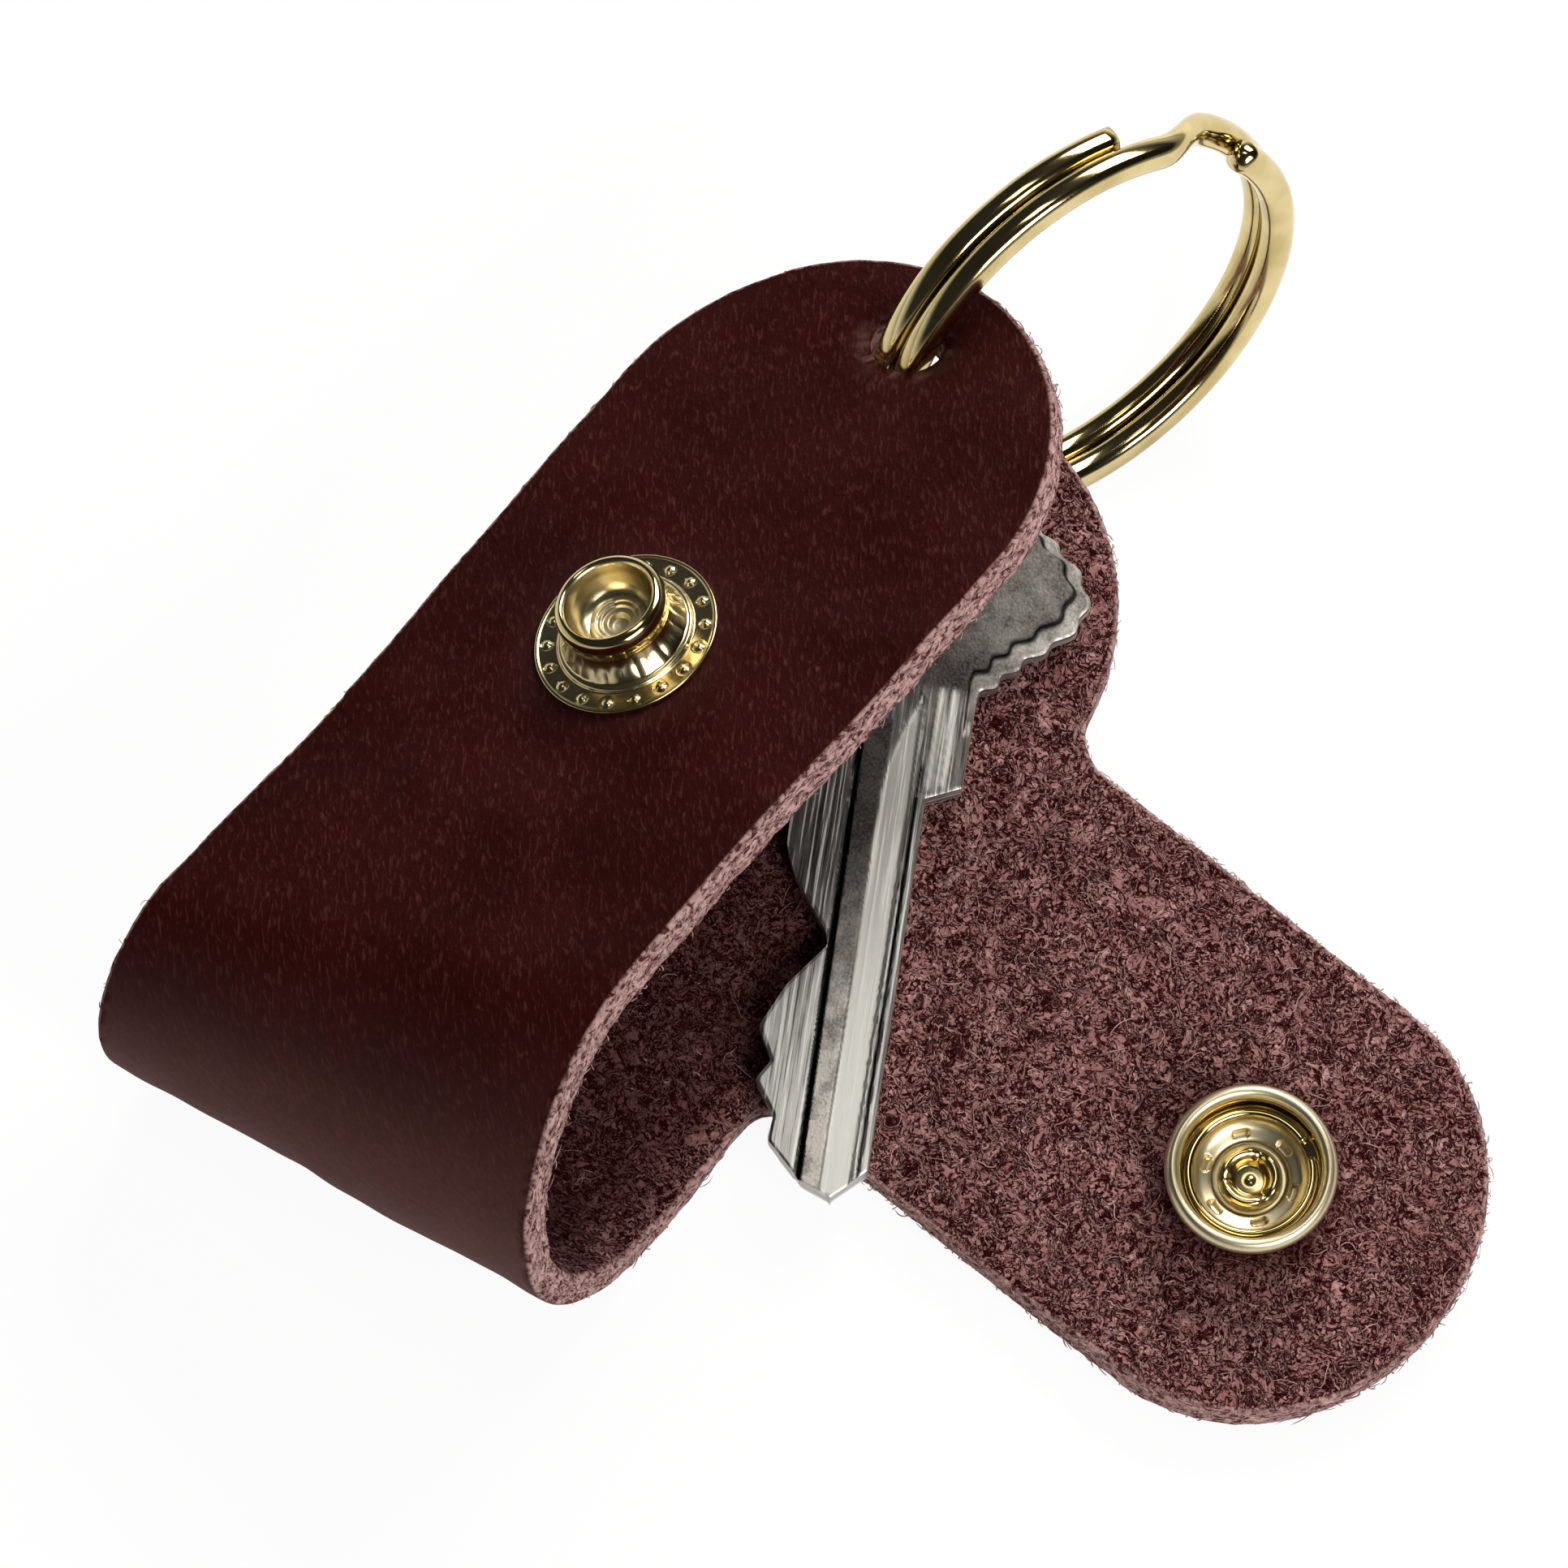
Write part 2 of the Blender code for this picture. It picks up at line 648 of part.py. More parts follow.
def to_mesh_object(curve_object):
    """Turn an evaluated curve into a welded mesh object of the same name, place and parent."""
    bpy.context.view_layer.update()
    name = curve_object.name
    graph = bpy.context.evaluated_depsgraph_get()
    mesh = bpy.data.meshes.new_from_object(curve_object.evaluated_get(graph))
    welded = bmesh.new()
    welded.from_mesh(mesh)
    bmesh.ops.remove_doubles(welded, verts=welded.verts, dist=0.00001)
    welded.to_mesh(mesh)
    welded.free()
    parent = curve_object.parent
    matrix = curve_object.matrix_world.copy()
    material = curve_object.data.materials[0]
    bpy.data.objects.remove(curve_object, do_unlink=True)
    mesh.materials.clear()
    return place(name, mesh, matrix, material, parent)


def make_key():
    """The key lies flat in the pocket; its frame starts at the shoulder, with x towards the bow."""
    direction = math.radians(key_angle + 180)
    x_axis = np.array([math.cos(direction), math.sin(direction), 0.0])
    y_axis = np.cross(up, x_axis)
    shoulder = key_pivot - x_axis * key_ring_along + y_axis * key_ring_aside
    matrix = rest @ frame_matrix(x_axis, y_axis, up, shoulder)
    hole = arc((key_hole_centre, 0.0), key_hole_half_width, 0, 360, arc_samples + 1,
               key_hole_half_height / key_hole_half_width)[:-1]
    key = flat_piece("key", [key_outline(), hole], key_thickness, matrix, steel, key_body)
    key = to_mesh_object(key)
    long = key_blade_length + overrun
    for side in (1, -1):
        level = side * key_thickness / 2
        for name, place_y, half, depth in (("slot", key_slot_place, key_slot_half, key_slot_depth),
                                           ("channel", -key_channel_place, key_channel_half, key_channel_depth)):
            size = (long, 2 * half, 2 * depth)
            centre = (-long / 2, side * place_y, level)
            cut = key.modifiers.new(name, "BOOLEAN")
            cut.solver = "EXACT"
            cut.operation = "DIFFERENCE"
            cut.object = cutting_box(name + "_cutter", size, centre, matrix)
    return key


def local_frame(origin, z_axis):
    """World matrix of a turned piece whose axis is z_axis at origin, in the back panel's frame."""
    x_axis = unit(np.cross(np.array([0.0, 1.0, 0.0]), z_axis))
    return rest @ frame_matrix(x_axis, np.cross(z_axis, x_axis), z_axis, origin)


def stand_on_floor():
    """Move the whole cover so that the middle of its underside is the origin."""
    bpy.context.view_layer.update()
    graph = bpy.context.evaluated_depsgraph_get()
    corners = []
    for item in parts.objects:
        if item.type == "EMPTY":
            continue
        shape = item.evaluated_get(graph)
        mesh = shape.to_mesh()
        corners += [shape.matrix_world @ vertex.co for vertex in mesh.vertices]
        shape.to_mesh_clear()
    corners = np.array(corners)
    low, high = corners.min(axis=0), corners.max(axis=0)
    cover.location = (-(low[0] + high[0]) / 2, -(low[1] + high[1]) / 2, -low[2])
    bpy.context.view_layer.update()


def main():
    post_hole = post_radius + seam_gap
    barrel_hole = barrel_radius + seam_gap
    flat_piece("back_panel", [back_outline(), circle(hole_back, ring_hole_radius)], leather_thickness,
               back_matrix, leather, back_body)
    conical_fold()
    flat_piece("front_panel", [front_outline(), circle(hole_front, ring_hole_radius),
                               circle(stud_place, post_hole)],
               leather_thickness, front_matrix, leather, front_body)
    flat_piece("tab_bend", [bend_outline()], leather_thickness, back_matrix, leather, back_body)
    flat_piece("snap_tab", [tab_outline(), circle((socket_place, 0.0), barrel_hole)], leather_thickness,
               back_matrix, leather, tab_body)

    grain = -front_axes[:, 2]
    stud_base = on_front(*stud_place, -half_leather - seam_gap)
    turned("snap_stud", stud_profile(), local_frame(stud_base, grain), brass, front_body, True)
    post_base = on_front(*stud_place, half_leather)
    turned("stud_post", post_profile(), local_frame(post_base, grain), brass, front_body, True)

    socket_base = np.array([socket_place, 0.0, half_leather + seam_gap])
    turned("snap_socket", socket_profile(), local_frame(socket_base, up), brass, tab_body, True)
    socket_spring(local_frame(socket_base, up), tab_body)
    cap_base = np.array([socket_place, 0.0, -half_leather - seam_gap - cap_height])
    turned("snap_cap", cap_profile(), local_frame(cap_base, up), brass, tab_body, True)

    ring_matrix = rest @ frame_matrix(ring_out, np.cross(ring_normal, ring_out), ring_normal, ring_centre)
    split_ring(ring_matrix, ring_body)
    make_key()
    stand_on_floor()


main()
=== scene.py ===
import math

import bmesh
import bpy
import numpy as np
from mathutils import Matrix


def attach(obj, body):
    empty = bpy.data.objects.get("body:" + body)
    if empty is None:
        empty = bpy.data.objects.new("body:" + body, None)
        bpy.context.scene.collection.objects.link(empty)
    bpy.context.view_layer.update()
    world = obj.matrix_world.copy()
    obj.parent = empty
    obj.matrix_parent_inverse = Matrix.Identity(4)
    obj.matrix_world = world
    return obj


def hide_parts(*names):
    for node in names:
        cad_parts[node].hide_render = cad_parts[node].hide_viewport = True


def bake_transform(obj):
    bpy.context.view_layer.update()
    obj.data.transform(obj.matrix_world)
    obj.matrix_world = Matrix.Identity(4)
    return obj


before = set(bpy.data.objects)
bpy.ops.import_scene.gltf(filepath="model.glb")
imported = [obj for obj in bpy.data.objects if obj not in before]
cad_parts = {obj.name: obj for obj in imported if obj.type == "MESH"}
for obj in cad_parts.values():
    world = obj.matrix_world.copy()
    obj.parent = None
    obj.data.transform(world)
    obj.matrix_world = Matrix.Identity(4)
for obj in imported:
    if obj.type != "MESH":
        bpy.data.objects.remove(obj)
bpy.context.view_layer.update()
mm = 0.001
tau = math.tau
mergeReach = 0.000002  # points closer than this, in metres, are one


def unit(vector):
    return vector / np.linalg.norm(vector, axis=-1, keepdims=True)


def together(*parts):
    # values side by side along a new last axis
    return np.stack(np.broadcast_arrays(*parts), axis=-1)


def smooth(low, high, value):
    # 0 below low, 1 above high, and an S curve between them
    share = np.clip((value - low) / (high - low), 0, 1)
    return share * share * (3 - 2 * share)


def fall(low, high, value):
    # 1 below low, 0 above high
    return 1 - smooth(low, high, value)


def hump(value, centre, width):
    # a bell of height 1
    return np.exp(-((value - centre) / width) ** 2)


def ripples(u, v, length, seed, count=20):
    # a sum of sine waves in random directions, with crests about one length apart
    random = np.random.default_rng(seed)
    total = 0.0
    for angle, phase, stretch in random.uniform((0, 0, 0.6), (tau, tau, 1.6), (count, 3)):
        total = total + np.sin((u * math.cos(angle) + v * math.sin(angle)) * tau / (length * stretch) + phase)
    return total * math.sqrt(2 / count)


def readMesh(items, key, width):
    flat = np.empty(len(items) * width, np.float32)
    items.foreach_get(key, flat)
    return flat.reshape(-1, width).astype(float)


def flatNormal(name):
    # the direction that most of a flat piece's surface faces, turned upwards
    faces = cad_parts[name].data.polygons
    normals = readMesh(faces, "normal", 3)
    spread = (normals * readMesh(faces, "area", 1)).T @ normals
    normal = np.linalg.eigh(spread)[1][:, -1]
    return normal * np.sign(normal[2])


def middleAlong(name, axis):
    along = readMesh(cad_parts[name].data.vertices, "co", 3) @ axis
    return (along.min() + along.max()) / 2


# The leather is one flat cut in millimetres: x runs across the strap to the tab, y along it to the back head,
# and the height rises from its middle to the flesh side.
strap = dict(
    thickness=2.2, headRadius=16.1, waistHalf=15.7, foldHalf=16.6, backHead=14.5, frontShorter=0.9,
    foldClearance=2.7, coneTip=51.4, backBend=19.4, frontBend=18.7, foldTurn=192.3,
    edgeRound=0.34, roundFade=1.2,
    headRows=44, rowStep=0.52, columns=61, holeRows=6, holeReach=2.15, holeEasing=1.5,
)
tab = dict(
    half=15.05, reach=57.8, roundDepth=13.8, upperFillet=3.4, lowerFillet=2.2, bendStart=17.5, bendEnd=25.0,
    columns=55, rowStep=0.5, endRows=30, filletRows=9, underStrap=0.8, underDrop=0.06, calm=(16.5, 21.0),
    edgeFade=1.4, rootFade=9.0,
)
snap = dict(place=42.9, studX=-1.7, studSetback=2.3)

half = strap["thickness"] / 2
backBend = math.radians(strap["backBend"])
frontBend = math.radians(strap["frontBend"])
foldTurn = math.radians(strap["foldTurn"])
tabRoot = tab["half"] + tab["lowerFillet"]
foldY = -(tabRoot + strap["foldClearance"] + (strap["foldHalf"] + strap["coneTip"]) * math.tan(backBend))
backReach = strap["backHead"] - foldY
frontReach = backReach - strap["frontShorter"]
frontHead = foldY - frontReach

upWorld = flatNormal("back_panel")
acrossWorld = unit(np.cross([0.0, 1.0, 0.0], upWorld))
alongWorld = np.cross(upWorld, acrossWorld)
axesWorld = np.array([acrossWorld, alongWorld, upWorld])
originWorld = (acrossWorld * (middleAlong("snap_socket", acrossWorld) - snap["place"] * mm)
               + alongWorld * middleAlong("snap_socket", alongWorld)
               + upWorld * middleAlong("back_panel", upWorld))


def toWorld(points):
    # millimetres in the back panel's frame to metres in the scene
    return originWorld + np.asarray(points) * mm @ axesWorld


# The fold is a cone: its tip lies to the left on the fold's line
coneSine = (backBend + frontBend) / foldTurn
coneCosine = math.sqrt(1 - coneSine ** 2)
up = np.array([0.0, 0.0, 1.0])
firstRuling = np.array([math.cos(backBend), math.sin(backBend), 0.0])
coneOut = np.array([math.sin(backBend), -math.cos(backBend), 0.0])
coneAxis = coneCosine * firstRuling + coneSine * up
coneDown = (firstRuling - coneCosine * coneAxis) / coneSine
coneApex = np.array([-strap["coneTip"], foldY, 0.0])


def onSheet(x, y, height):
    # Bends the flat cut. A point at distance rho and angle theta from the cone's tip keeps rho; its angle
    # becomes a turn phi about the cone's axis, and what lies before or after the fold stays flat.
    x, y, height = np.broadcast_arrays(np.asarray(x, float), y, height)
    rho = np.hypot(x - coneApex[0], y - foldY)
    theta = np.arctan2(y - foldY, x - coneApex[0])
    phi = np.clip((backBend - theta) / coneSine, 0, foldTurn)
    flat = np.where(theta > backBend, backBend - theta, np.where(theta < -frontBend, -frontBend - theta, 0))
    around = np.cos(phi)[..., None] * coneDown + np.sin(phi)[..., None] * coneOut
    onward = -np.sin(phi)[..., None] * coneDown + np.cos(phi)[..., None] * coneOut
    ruling = coneCosine * coneAxis + coneSine * around
    flesh = coneSine * coneAxis - coneCosine * around
    point = rho[..., None] * (np.cos(flat)[..., None] * ruling + np.sin(flat)[..., None] * onward)
    return coneApex + point + flesh * height[..., None]


def frameAt(x, y, height, side):
    # origin and axes of a fitting that stands on the sheet, with z along its axis
    origin = onSheet(x, y, height)
    step = 0.5
    across = unit(onSheet(x + step, y, height) - onSheet(x - step, y, height))
    along = unit(onSheet(x, y + step, height) - onSheet(x, y - step, height))
    axis = side * np.cross(across, along)
    across = unit(np.cross([0.0, 1.0, 0.0], axis))
    return origin, np.array([across, np.cross(axis, across), axis])


def placed(points, origin, axes):
    return toWorld(origin + points @ axes)


print("frame:", len(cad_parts), "nodes, fold at", round(foldY, 3))


def patch(points, uv, keep=None, **values):
    # one grid of a piece, or many of one size: places, pattern places and values that the material reads
    return dict(points=points, uv=uv, keep=keep, values=values)


def makePiece(name, patches, material, crease=None):
    # Joins grids of points into one mesh. Neighbouring grids share their border points, which are merged.
    corners, faces, uvs, start = [], [], [], 0
    values = {key: [] for key in sorted({key for item in patches for key in item["values"]})}
    for item in patches:
        points = item["points"]
        shape = points.shape[:-1]
        index = start + np.arange(math.prod(shape)).reshape(shape)
        quads = together(index[..., :-1, :-1], index[..., 1:, :-1], index[..., 1:, 1:], index[..., :-1, 1:])
        faces.append(quads.reshape(-1, 4) if item["keep"] is None else quads[item["keep"]])
        corners.append(points.reshape(-1, 3))
        uvs.append(np.broadcast_to(item["uv"], (*shape, 2)).reshape(-1, 2))
        for key, held in values.items():
            held.append(np.broadcast_to(item["values"].get(key, 0.0), shape).ravel())
        start += index.size
    mesh = bpy.data.meshes.new(name)
    mesh.from_pydata(np.vstack(corners).tolist(), [], np.vstack(faces).tolist())
    owner = np.empty(len(mesh.loops), np.int32)
    mesh.loops.foreach_get("vertex_index", owner)
    layer = mesh.uv_layers.new(name="pattern")
    layer.uv.foreach_set("vector", np.vstack(uvs)[owner].astype(np.float32).ravel())
    for key, held in values.items():
        made = mesh.attributes.new(key, "FLOAT", "POINT")
        made.data.foreach_set("value", np.concatenate(held).astype(np.float32))
    joined = bmesh.new()
    joined.from_mesh(mesh)
    bmesh.ops.remove_doubles(joined, verts=joined.verts, dist=mergeReach)
    bmesh.ops.dissolve_degenerate(joined, edges=joined.edges, dist=mergeReach / 2)
    bmesh.ops.recalc_face_normals(joined, faces=joined.faces)
    joined.to_mesh(mesh)
    joined.free()
    mesh.shade_smooth()
    if crease is not None:
        mesh.set_sharp_from_angle(angle=math.radians(crease))
    mesh.materials.append(material)
    piece = bpy.data.objects.new(name, mesh)
    bpy.context.scene.collection.objects.link(piece)
    print(name, len(mesh.polygons), "faces")
    return piece


def roundedProfile(corners, step=0.11, cornerPoints=6, sharpBelow=0.05):
    # A profile of (radius, height, rounding) with each corner turned into a small parabola
    points = np.array([corner[:2] for corner in corners], float)
    line = []
    for i, (before, here) in enumerate(zip(np.roll(points, 1, axis=0), points)):
        after, rounding = points[(i + 1) % len(points)], corners[i][2]
        back = min(rounding, np.linalg.norm(before - here) * 0.49)
        ahead = min(rounding, np.linalg.norm(after - here) * 0.49)
        start, end = here + unit(before - here) * back, here + unit(after - here) * ahead
        share = np.linspace(0, 1, cornerPoints if rounding > sharpBelow else 2)[:, None]
        line.append((1 - share) ** 2 * start + 2 * share * (1 - share) * here + share ** 2 * end)
    line = np.vstack(line)
    line = np.vstack([line, line[:1]])
    gaps = np.linalg.norm(np.diff(line, axis=0), axis=1)
    parts = [np.linspace(a, b, max(int(gap / step), 1), endpoint=False)
             for a, b, gap in zip(line[:-1], line[1:], gaps) if gap > 1e-6]
    return np.vstack([*parts, line[:1]])


def turnedGrid(profile, columns=181):
    # the profile, with its corners rounded, carried round its axis
    line = roundedProfile(profile)
    return np.broadcast_arrays(line[:, :1], np.linspace(0, tau, columns), line[:, 1:])


def fromPolar(radius, angle, height):
    return together(radius * np.cos(angle), radius * np.sin(angle), height)


def fromNearest(angle, count):
    # the angle from the nearest of count even places round the axis
    step = tau / count
    return (angle + step / 2) % step - step / 2


def turnedPiece(name, grid, place, material, **values):
    # a turned shape (radius, angle, height) that stands on the sheet
    points = placed(fromPolar(*grid), *place)
    return makePiece(name, [patch(points, together(*grid[1:]), **values)], material, crease=50)


def feed(tree, node, values):
    # links a node's sockets to wires, or sets them to values
    for name, value in values.items():
        if isinstance(value, Wire):
            tree.links.new(value.socket, node.inputs[name])
        else:
            node.inputs[name].default_value = value


class Wire:
    # one output of a material's node, which takes part in sums

    def __init__(self, socket):
        self.socket = socket

    @staticmethod
    def node(tree, kind, settings, values, output=0):
        made = tree.nodes.new("ShaderNode" + kind)
        for name, value in settings.items():
            setattr(made, name, value)
        feed(tree, made, values)
        return Wire(made.outputs[output])

    def beside(self, kind, settings, values, output=0):
        # another node in the same material
        return Wire.node(self.socket.id_data, kind, settings, values, output)

    def maths(self, operation, first, second=0.0):
        return self.beside("Math", {"operation": operation}, {0: first, 1: second})

    def __add__(self, other):
        return self.maths("ADD", self, other)

    __radd__ = __add__

    def __sub__(self, other):
        return self.maths("SUBTRACT", self, other)

    def __rsub__(self, other):
        return self.maths("SUBTRACT", other, self)

    def __mul__(self, other):
        return self.maths("MULTIPLY", self, other)

    __rmul__ = __mul__

    def __abs__(self):
        return self.maths("ABSOLUTE", self)

    def step(self, low, high):
        # 0 below low, 1 above high, smooth between
        return self.beside("MapRange", {"interpolation_type": "SMOOTHSTEP"},
                           {"Value": self, "From Min": low, "From Max": high})


def newMaterial(name):
    made = bpy.data.materials.new(name)
    made.use_nodes = True
    return made, made.node_tree, made.node_tree.nodes["Principled BSDF"]


def patternUv(tree):
    return Wire.node(tree, "UVMap", {"uv_map": "pattern"}, {})


def stretched(vector, scale, angle=0.0):
    # turns a place by the angle and then scales it along x and y
    return vector.beside("Mapping", {"vector_type": "TEXTURE"}, {
        "Vector": vector, "Scale": (1 / scale[0], 1 / scale[1], 1.0), "Rotation": (0, 0, angle)})


def noise(vector, scale, detail=3.0, rough=0.5, warp=0.0, output=0):
    return vector.beside("TexNoise", {}, {
        "Vector": vector, "Scale": scale, "Detail": detail, "Roughness": rough, "Distortion": warp}, output)


def streaky(vector, stretch, angle, *grain):
    # noise that is longer one way than the other
    return noise(stretched(vector, stretch, angle), 1.0, *grain)


def layered(tint, *layers):
    # lays colours over the first one, each by its factor
    for factor, over in layers:
        tint = factor.beside("Mix", {"data_type": "RGBA"}, {0: factor, 6: tint, 7: over}, 2)
    return tint


def attributes(tree, *names):
    return [Wire.node(tree, "Attribute", {"attribute_name": name}, {}, "Fac") for name in names]


def colours(settings):
    # colours as they are seen on a screen, 0 to 255, as the shader wants them
    shares = {key: np.array(value) / 255 for key, value in settings.items()}
    linear = {key: np.where(share < 0.04045, share / 12.92, ((share + 0.055) / 1.055) ** 2.4)
              for key, share in shares.items()}
    return {key: (*value.tolist(), 1.0) for key, value in linear.items()}


leatherNoise = dict(
    # how much finer along x and y, the turn, and the noise's detail, roughness and distortion
    hairs=((4.4, 0.9), -0.68, 3.0, 0.55, 0.3), scuffs=((3.6, 1.0), -1.0, 3.0, 0.55, 0.3),
    lumps=((2.5, 1.3), 0.5, 3.0, 0.6, 0.5), cracks=((2.2, 0.85), 0.7, 2.0, 0.5, 0.5),
    cracksToo=((0.85, 2.3), 0.2, 2.0, 0.5, 0.5),
)
leatherLook = dict(
    grainDark=(38, 5, 3), grainLight=(47, 10, 8), grainWearAndSheen=(124, 86, 82), streak=(92, 52, 48),
    fleshDark=(42, 2, 2), fleshMid=(136, 92, 90), fleshLight=(182, 141, 138), fleshHair=(186, 148, 144),
    edgeDark=(74, 32, 30), edgeLight=(196, 160, 156),
)


def makeLeather():
    # Three looks of one hide, chosen by what each point says: its waxed grain, its fibrous flesh, its cut edge
    look = colours(leatherLook)
    material, tree, shader = newMaterial("oxbloodLeather")
    uv = patternUv(tree)
    flesh, cut, worn, strand, pressed = attributes(tree, "flesh", "cut", "worn", "strand", "pressed")

    clouds = noise(uv, 0.09, 4.0, 0.55)
    pores = noise(uv, 2.6, 3.0, 0.6)
    hairs, scuffs = (streaky(uv, *leatherNoise[key]) for key in ("hairs", "scuffs"))
    streak = hairs.step(0.55, 0.66) * 0.6 + scuffs.step(0.57, 0.68) * 0.6
    # the last grain layer is lighter with real wear round the rims and the stud, and with a painted sheen on the fold
    grainColour = layered(look["grainDark"], (clouds.step(0.3, 0.72), look["grainLight"]),
                          (streak * (0.1 + clouds * 0.7), look["streak"]),
                          (worn * (0.3 + pores * 0.6), look["grainWearAndSheen"]))

    # the flesh side: the noise's own place is bent, so that lumps and the cracks between fibres curl
    bend = noise(uv, 0.5, 3.0, 0.6, 0.0, 1)
    curled = Wire.node(tree, "VectorMath", {"operation": "MULTIPLY_ADD"}, {0: bend, 1: (4.5, 4.5, 4.5), 2: uv})
    clumps = noise(uv, 0.35, 4.0, 0.6)
    lumps = streaky(curled, *leatherNoise["lumps"])
    cracks, cracksToo = (1.0 - abs(streaky(curled, *leatherNoise[key]) - 0.5).step(0.018, 0.058)
                         for key in ("cracks", "cracksToo"))
    dark = cracks * 0.95 + cracksToo * 0.95
    # the last flesh layer darkens it with painted shade round the fittings and in the pocket beside the key
    fleshColour = layered(look["fleshMid"],
                          (clumps.step(0.3, 0.7) * 0.3 + lumps.step(0.52, 0.66) * 0.7, look["fleshLight"]),
                          ((1.0 - lumps.step(0.34, 0.46)) * 0.35, look["fleshDark"]), (dark, look["fleshDark"]),
                          (strand, look["fleshHair"]), (pressed * (0.5 + lumps * 0.6), look["fleshDark"]))
    fleshLevel = lumps * 2.0 - dark * 0.9

    layers = noise(stretched(uv, (1.0, 1.9)), 1.5, 4.0, 0.68, 1.0)
    edgeColour = layered(look["edgeDark"], (layers.step(0.38, 0.60), look["edgeLight"]))

    painted = layered(grainColour, (flesh, fleshColour), (cut, edgeColour))
    faces = 1.0 - cut
    grainShare = (1.0 - flesh) * faces
    relief = (pores * 0.2 + hairs * 0.35 + scuffs * 0.25) * grainShare
    relief = relief + fleshLevel * flesh * faces * (1.0 - strand) + layers * 2.0 * cut
    bump = Wire.node(tree, "Bump", {}, {"Strength": 0.9, "Distance": 0.00016, "Height": relief})
    rough = 0.40 + pores * 0.14 + streak * 0.12 + worn * 0.15
    rough = rough * grainShare + 0.9 * (1.0 - grainShare)
    feed(tree, shader, {"Base Color": painted, "Roughness": rough, "Normal": bump, "Specular IOR Level": 0.05})
    return material


# the last colour is near black, painted into the key's grooves as shade
metalLook = dict(
    brass=(212, 194, 144), brassDeep=(186, 166, 112), brassPale=(236, 226, 196), nickel=(200, 197, 191),
    nickelDark=(150, 146, 142), cast=(50, 42, 42), castBright=(206, 201, 192), scratchDark=(52, 49, 48),
    scratchBright=(240, 238, 232), milled=(210, 208, 201), groove=(8, 7, 7),
)


def makeBrass(name, roughness):
    # polished brass with a faint haze, and satin where it is pressed or rubbed
    look = colours(metalLook)
    material, tree, shader = newMaterial(name)
    place = Wire.node(tree, "TexCoord", {}, {}, "Object")
    haze = noise(place, 260.0, 3.0, 0.5)
    satin, = attributes(tree, "satin")
    tint = layered(look["brass"], (haze.step(0.3, 0.7), look["brassDeep"]), (satin * 0.6, look["brassPale"]))
    feed(tree, shader, {"Base Color": tint, "Roughness": roughness + haze * 0.06 + satin * 0.24, "Metallic": 1.0})
    return material


def makeNickel():
    # The key's metal: long scratches along the blade, a grainy cast strip, milled faces brighter, grooves painted
    # black as shade
    look = colours(metalLook)
    material, tree, shader = newMaterial("keyNickel")
    uv = patternUv(tree)
    milled, cast, groove, rubbed = attributes(tree, "milled", "cast", "groove", "rubbed")
    scratches = noise(stretched(uv, (0.10, 4.0)), 1.0, 3.0, 0.6)
    grit = noise(uv, 5.0, 3.0, 0.6)
    clouds = noise(uv, 0.5, 4.0, 0.65)
    bare = rubbed * (grit * 0.9 + clouds.step(0.3, 0.7) * 0.8) + (grit - 0.5) * 0.25
    tint = layered(look["nickelDark"], (rubbed * 0.75 + clouds.step(0.35, 0.65) * 0.25, look["nickel"]),
                   ((1.0 - scratches.step(0.36, 0.48)) * 0.7, look["scratchDark"]),
                   (scratches.step(0.53, 0.62) * 0.75, look["scratchBright"]),
                   (cast, layered(look["cast"], (bare, look["castBright"]))),
                   (milled * (1.15 - scratches * 0.5), look["milled"]), (groove, look["groove"]))
    relief = scratches * (0.8 - cast * 0.6) + grit * (0.1 + cast * 1.1)
    bump = Wire.node(tree, "Bump", {}, {"Strength": 0.5, "Distance": 0.00006, "Height": relief})
    rough = 0.32 + cast * 0.2 + clouds * 0.1 + groove * 0.3
    chalky = scratches.step(0.5, 0.6) * (1.0 - cast) * 0.55 + milled * 0.45  # the broken surface scatters the light
    feed(tree, shader, {"Base Color": tint, "Metallic": 1.0 - chalky, "Roughness": rough, "Normal": bump})
    return material


leatherMaterial, nickelMaterial = makeLeather(), makeNickel()
brassMaterial, softBrassMaterial = makeBrass("polishedBrass", 0.08), makeBrass("wornBrass", 0.16)


def panelHalf(y):
    # half the strap's width: a parabola from the fold to each head, drawn in at the waist by a squared sine
    share = np.where(y > foldY, (y - foldY) / backReach, (foldY - y) / frontReach)
    waist = (strap["waistHalf"] - strap["foldHalf"]) * np.sin(np.pi * np.clip(share, 0, 1)) ** 2
    return strap["foldHalf"] + waist + (strap["headRadius"] - strap["foldHalf"]) * share ** 2


def strapEdge(y):
    # how far the strap's right edge lies from its middle, with the round heads
    over = np.maximum(np.maximum(y - strap["backHead"], frontHead - y), 0)
    return np.where(over > 0, np.sqrt(np.maximum(strap["headRadius"] ** 2 - over ** 2, 0)), panelHalf(y))


upperCentreY = tab["half"] + tab["upperFillet"]
upperCentreX = math.sqrt((strap["headRadius"] + tab["upperFillet"]) ** 2 - (upperCentreY - strap["backHead"]) ** 2)
upperTouch = math.atan2(upperCentreY - strap["backHead"], upperCentreX)
rootTop = strap["backHead"] + strap["headRadius"] * math.sin(upperTouch)
leanReach = 1.6
holes = dict(
    # oval holes; each leans with the ring's wires, by a shift for every millimetre of height
    back=dict(centre=(-0.12, strap["backHead"] + 9.83), size=(3.4, 3.4), turn=0.0, lean=(-0.70, 0.0)),
    front=dict(centre=(-0.64, frontHead - 10.05), size=(2.0, 2.62), turn=82.0, lean=(0.0, 0.60)),
)


def holeReach(x, y, hole):
    # the place in the hole's own axes, where its rim is the unit circle
    turn = math.radians(hole["turn"])
    x, y = x - hole["centre"][0], y - hole["centre"][1]
    return together((x * math.cos(turn) + y * math.sin(turn)) / hole["size"][0],
                    (y * math.cos(turn) - x * math.sin(turn)) / hole["size"][1])


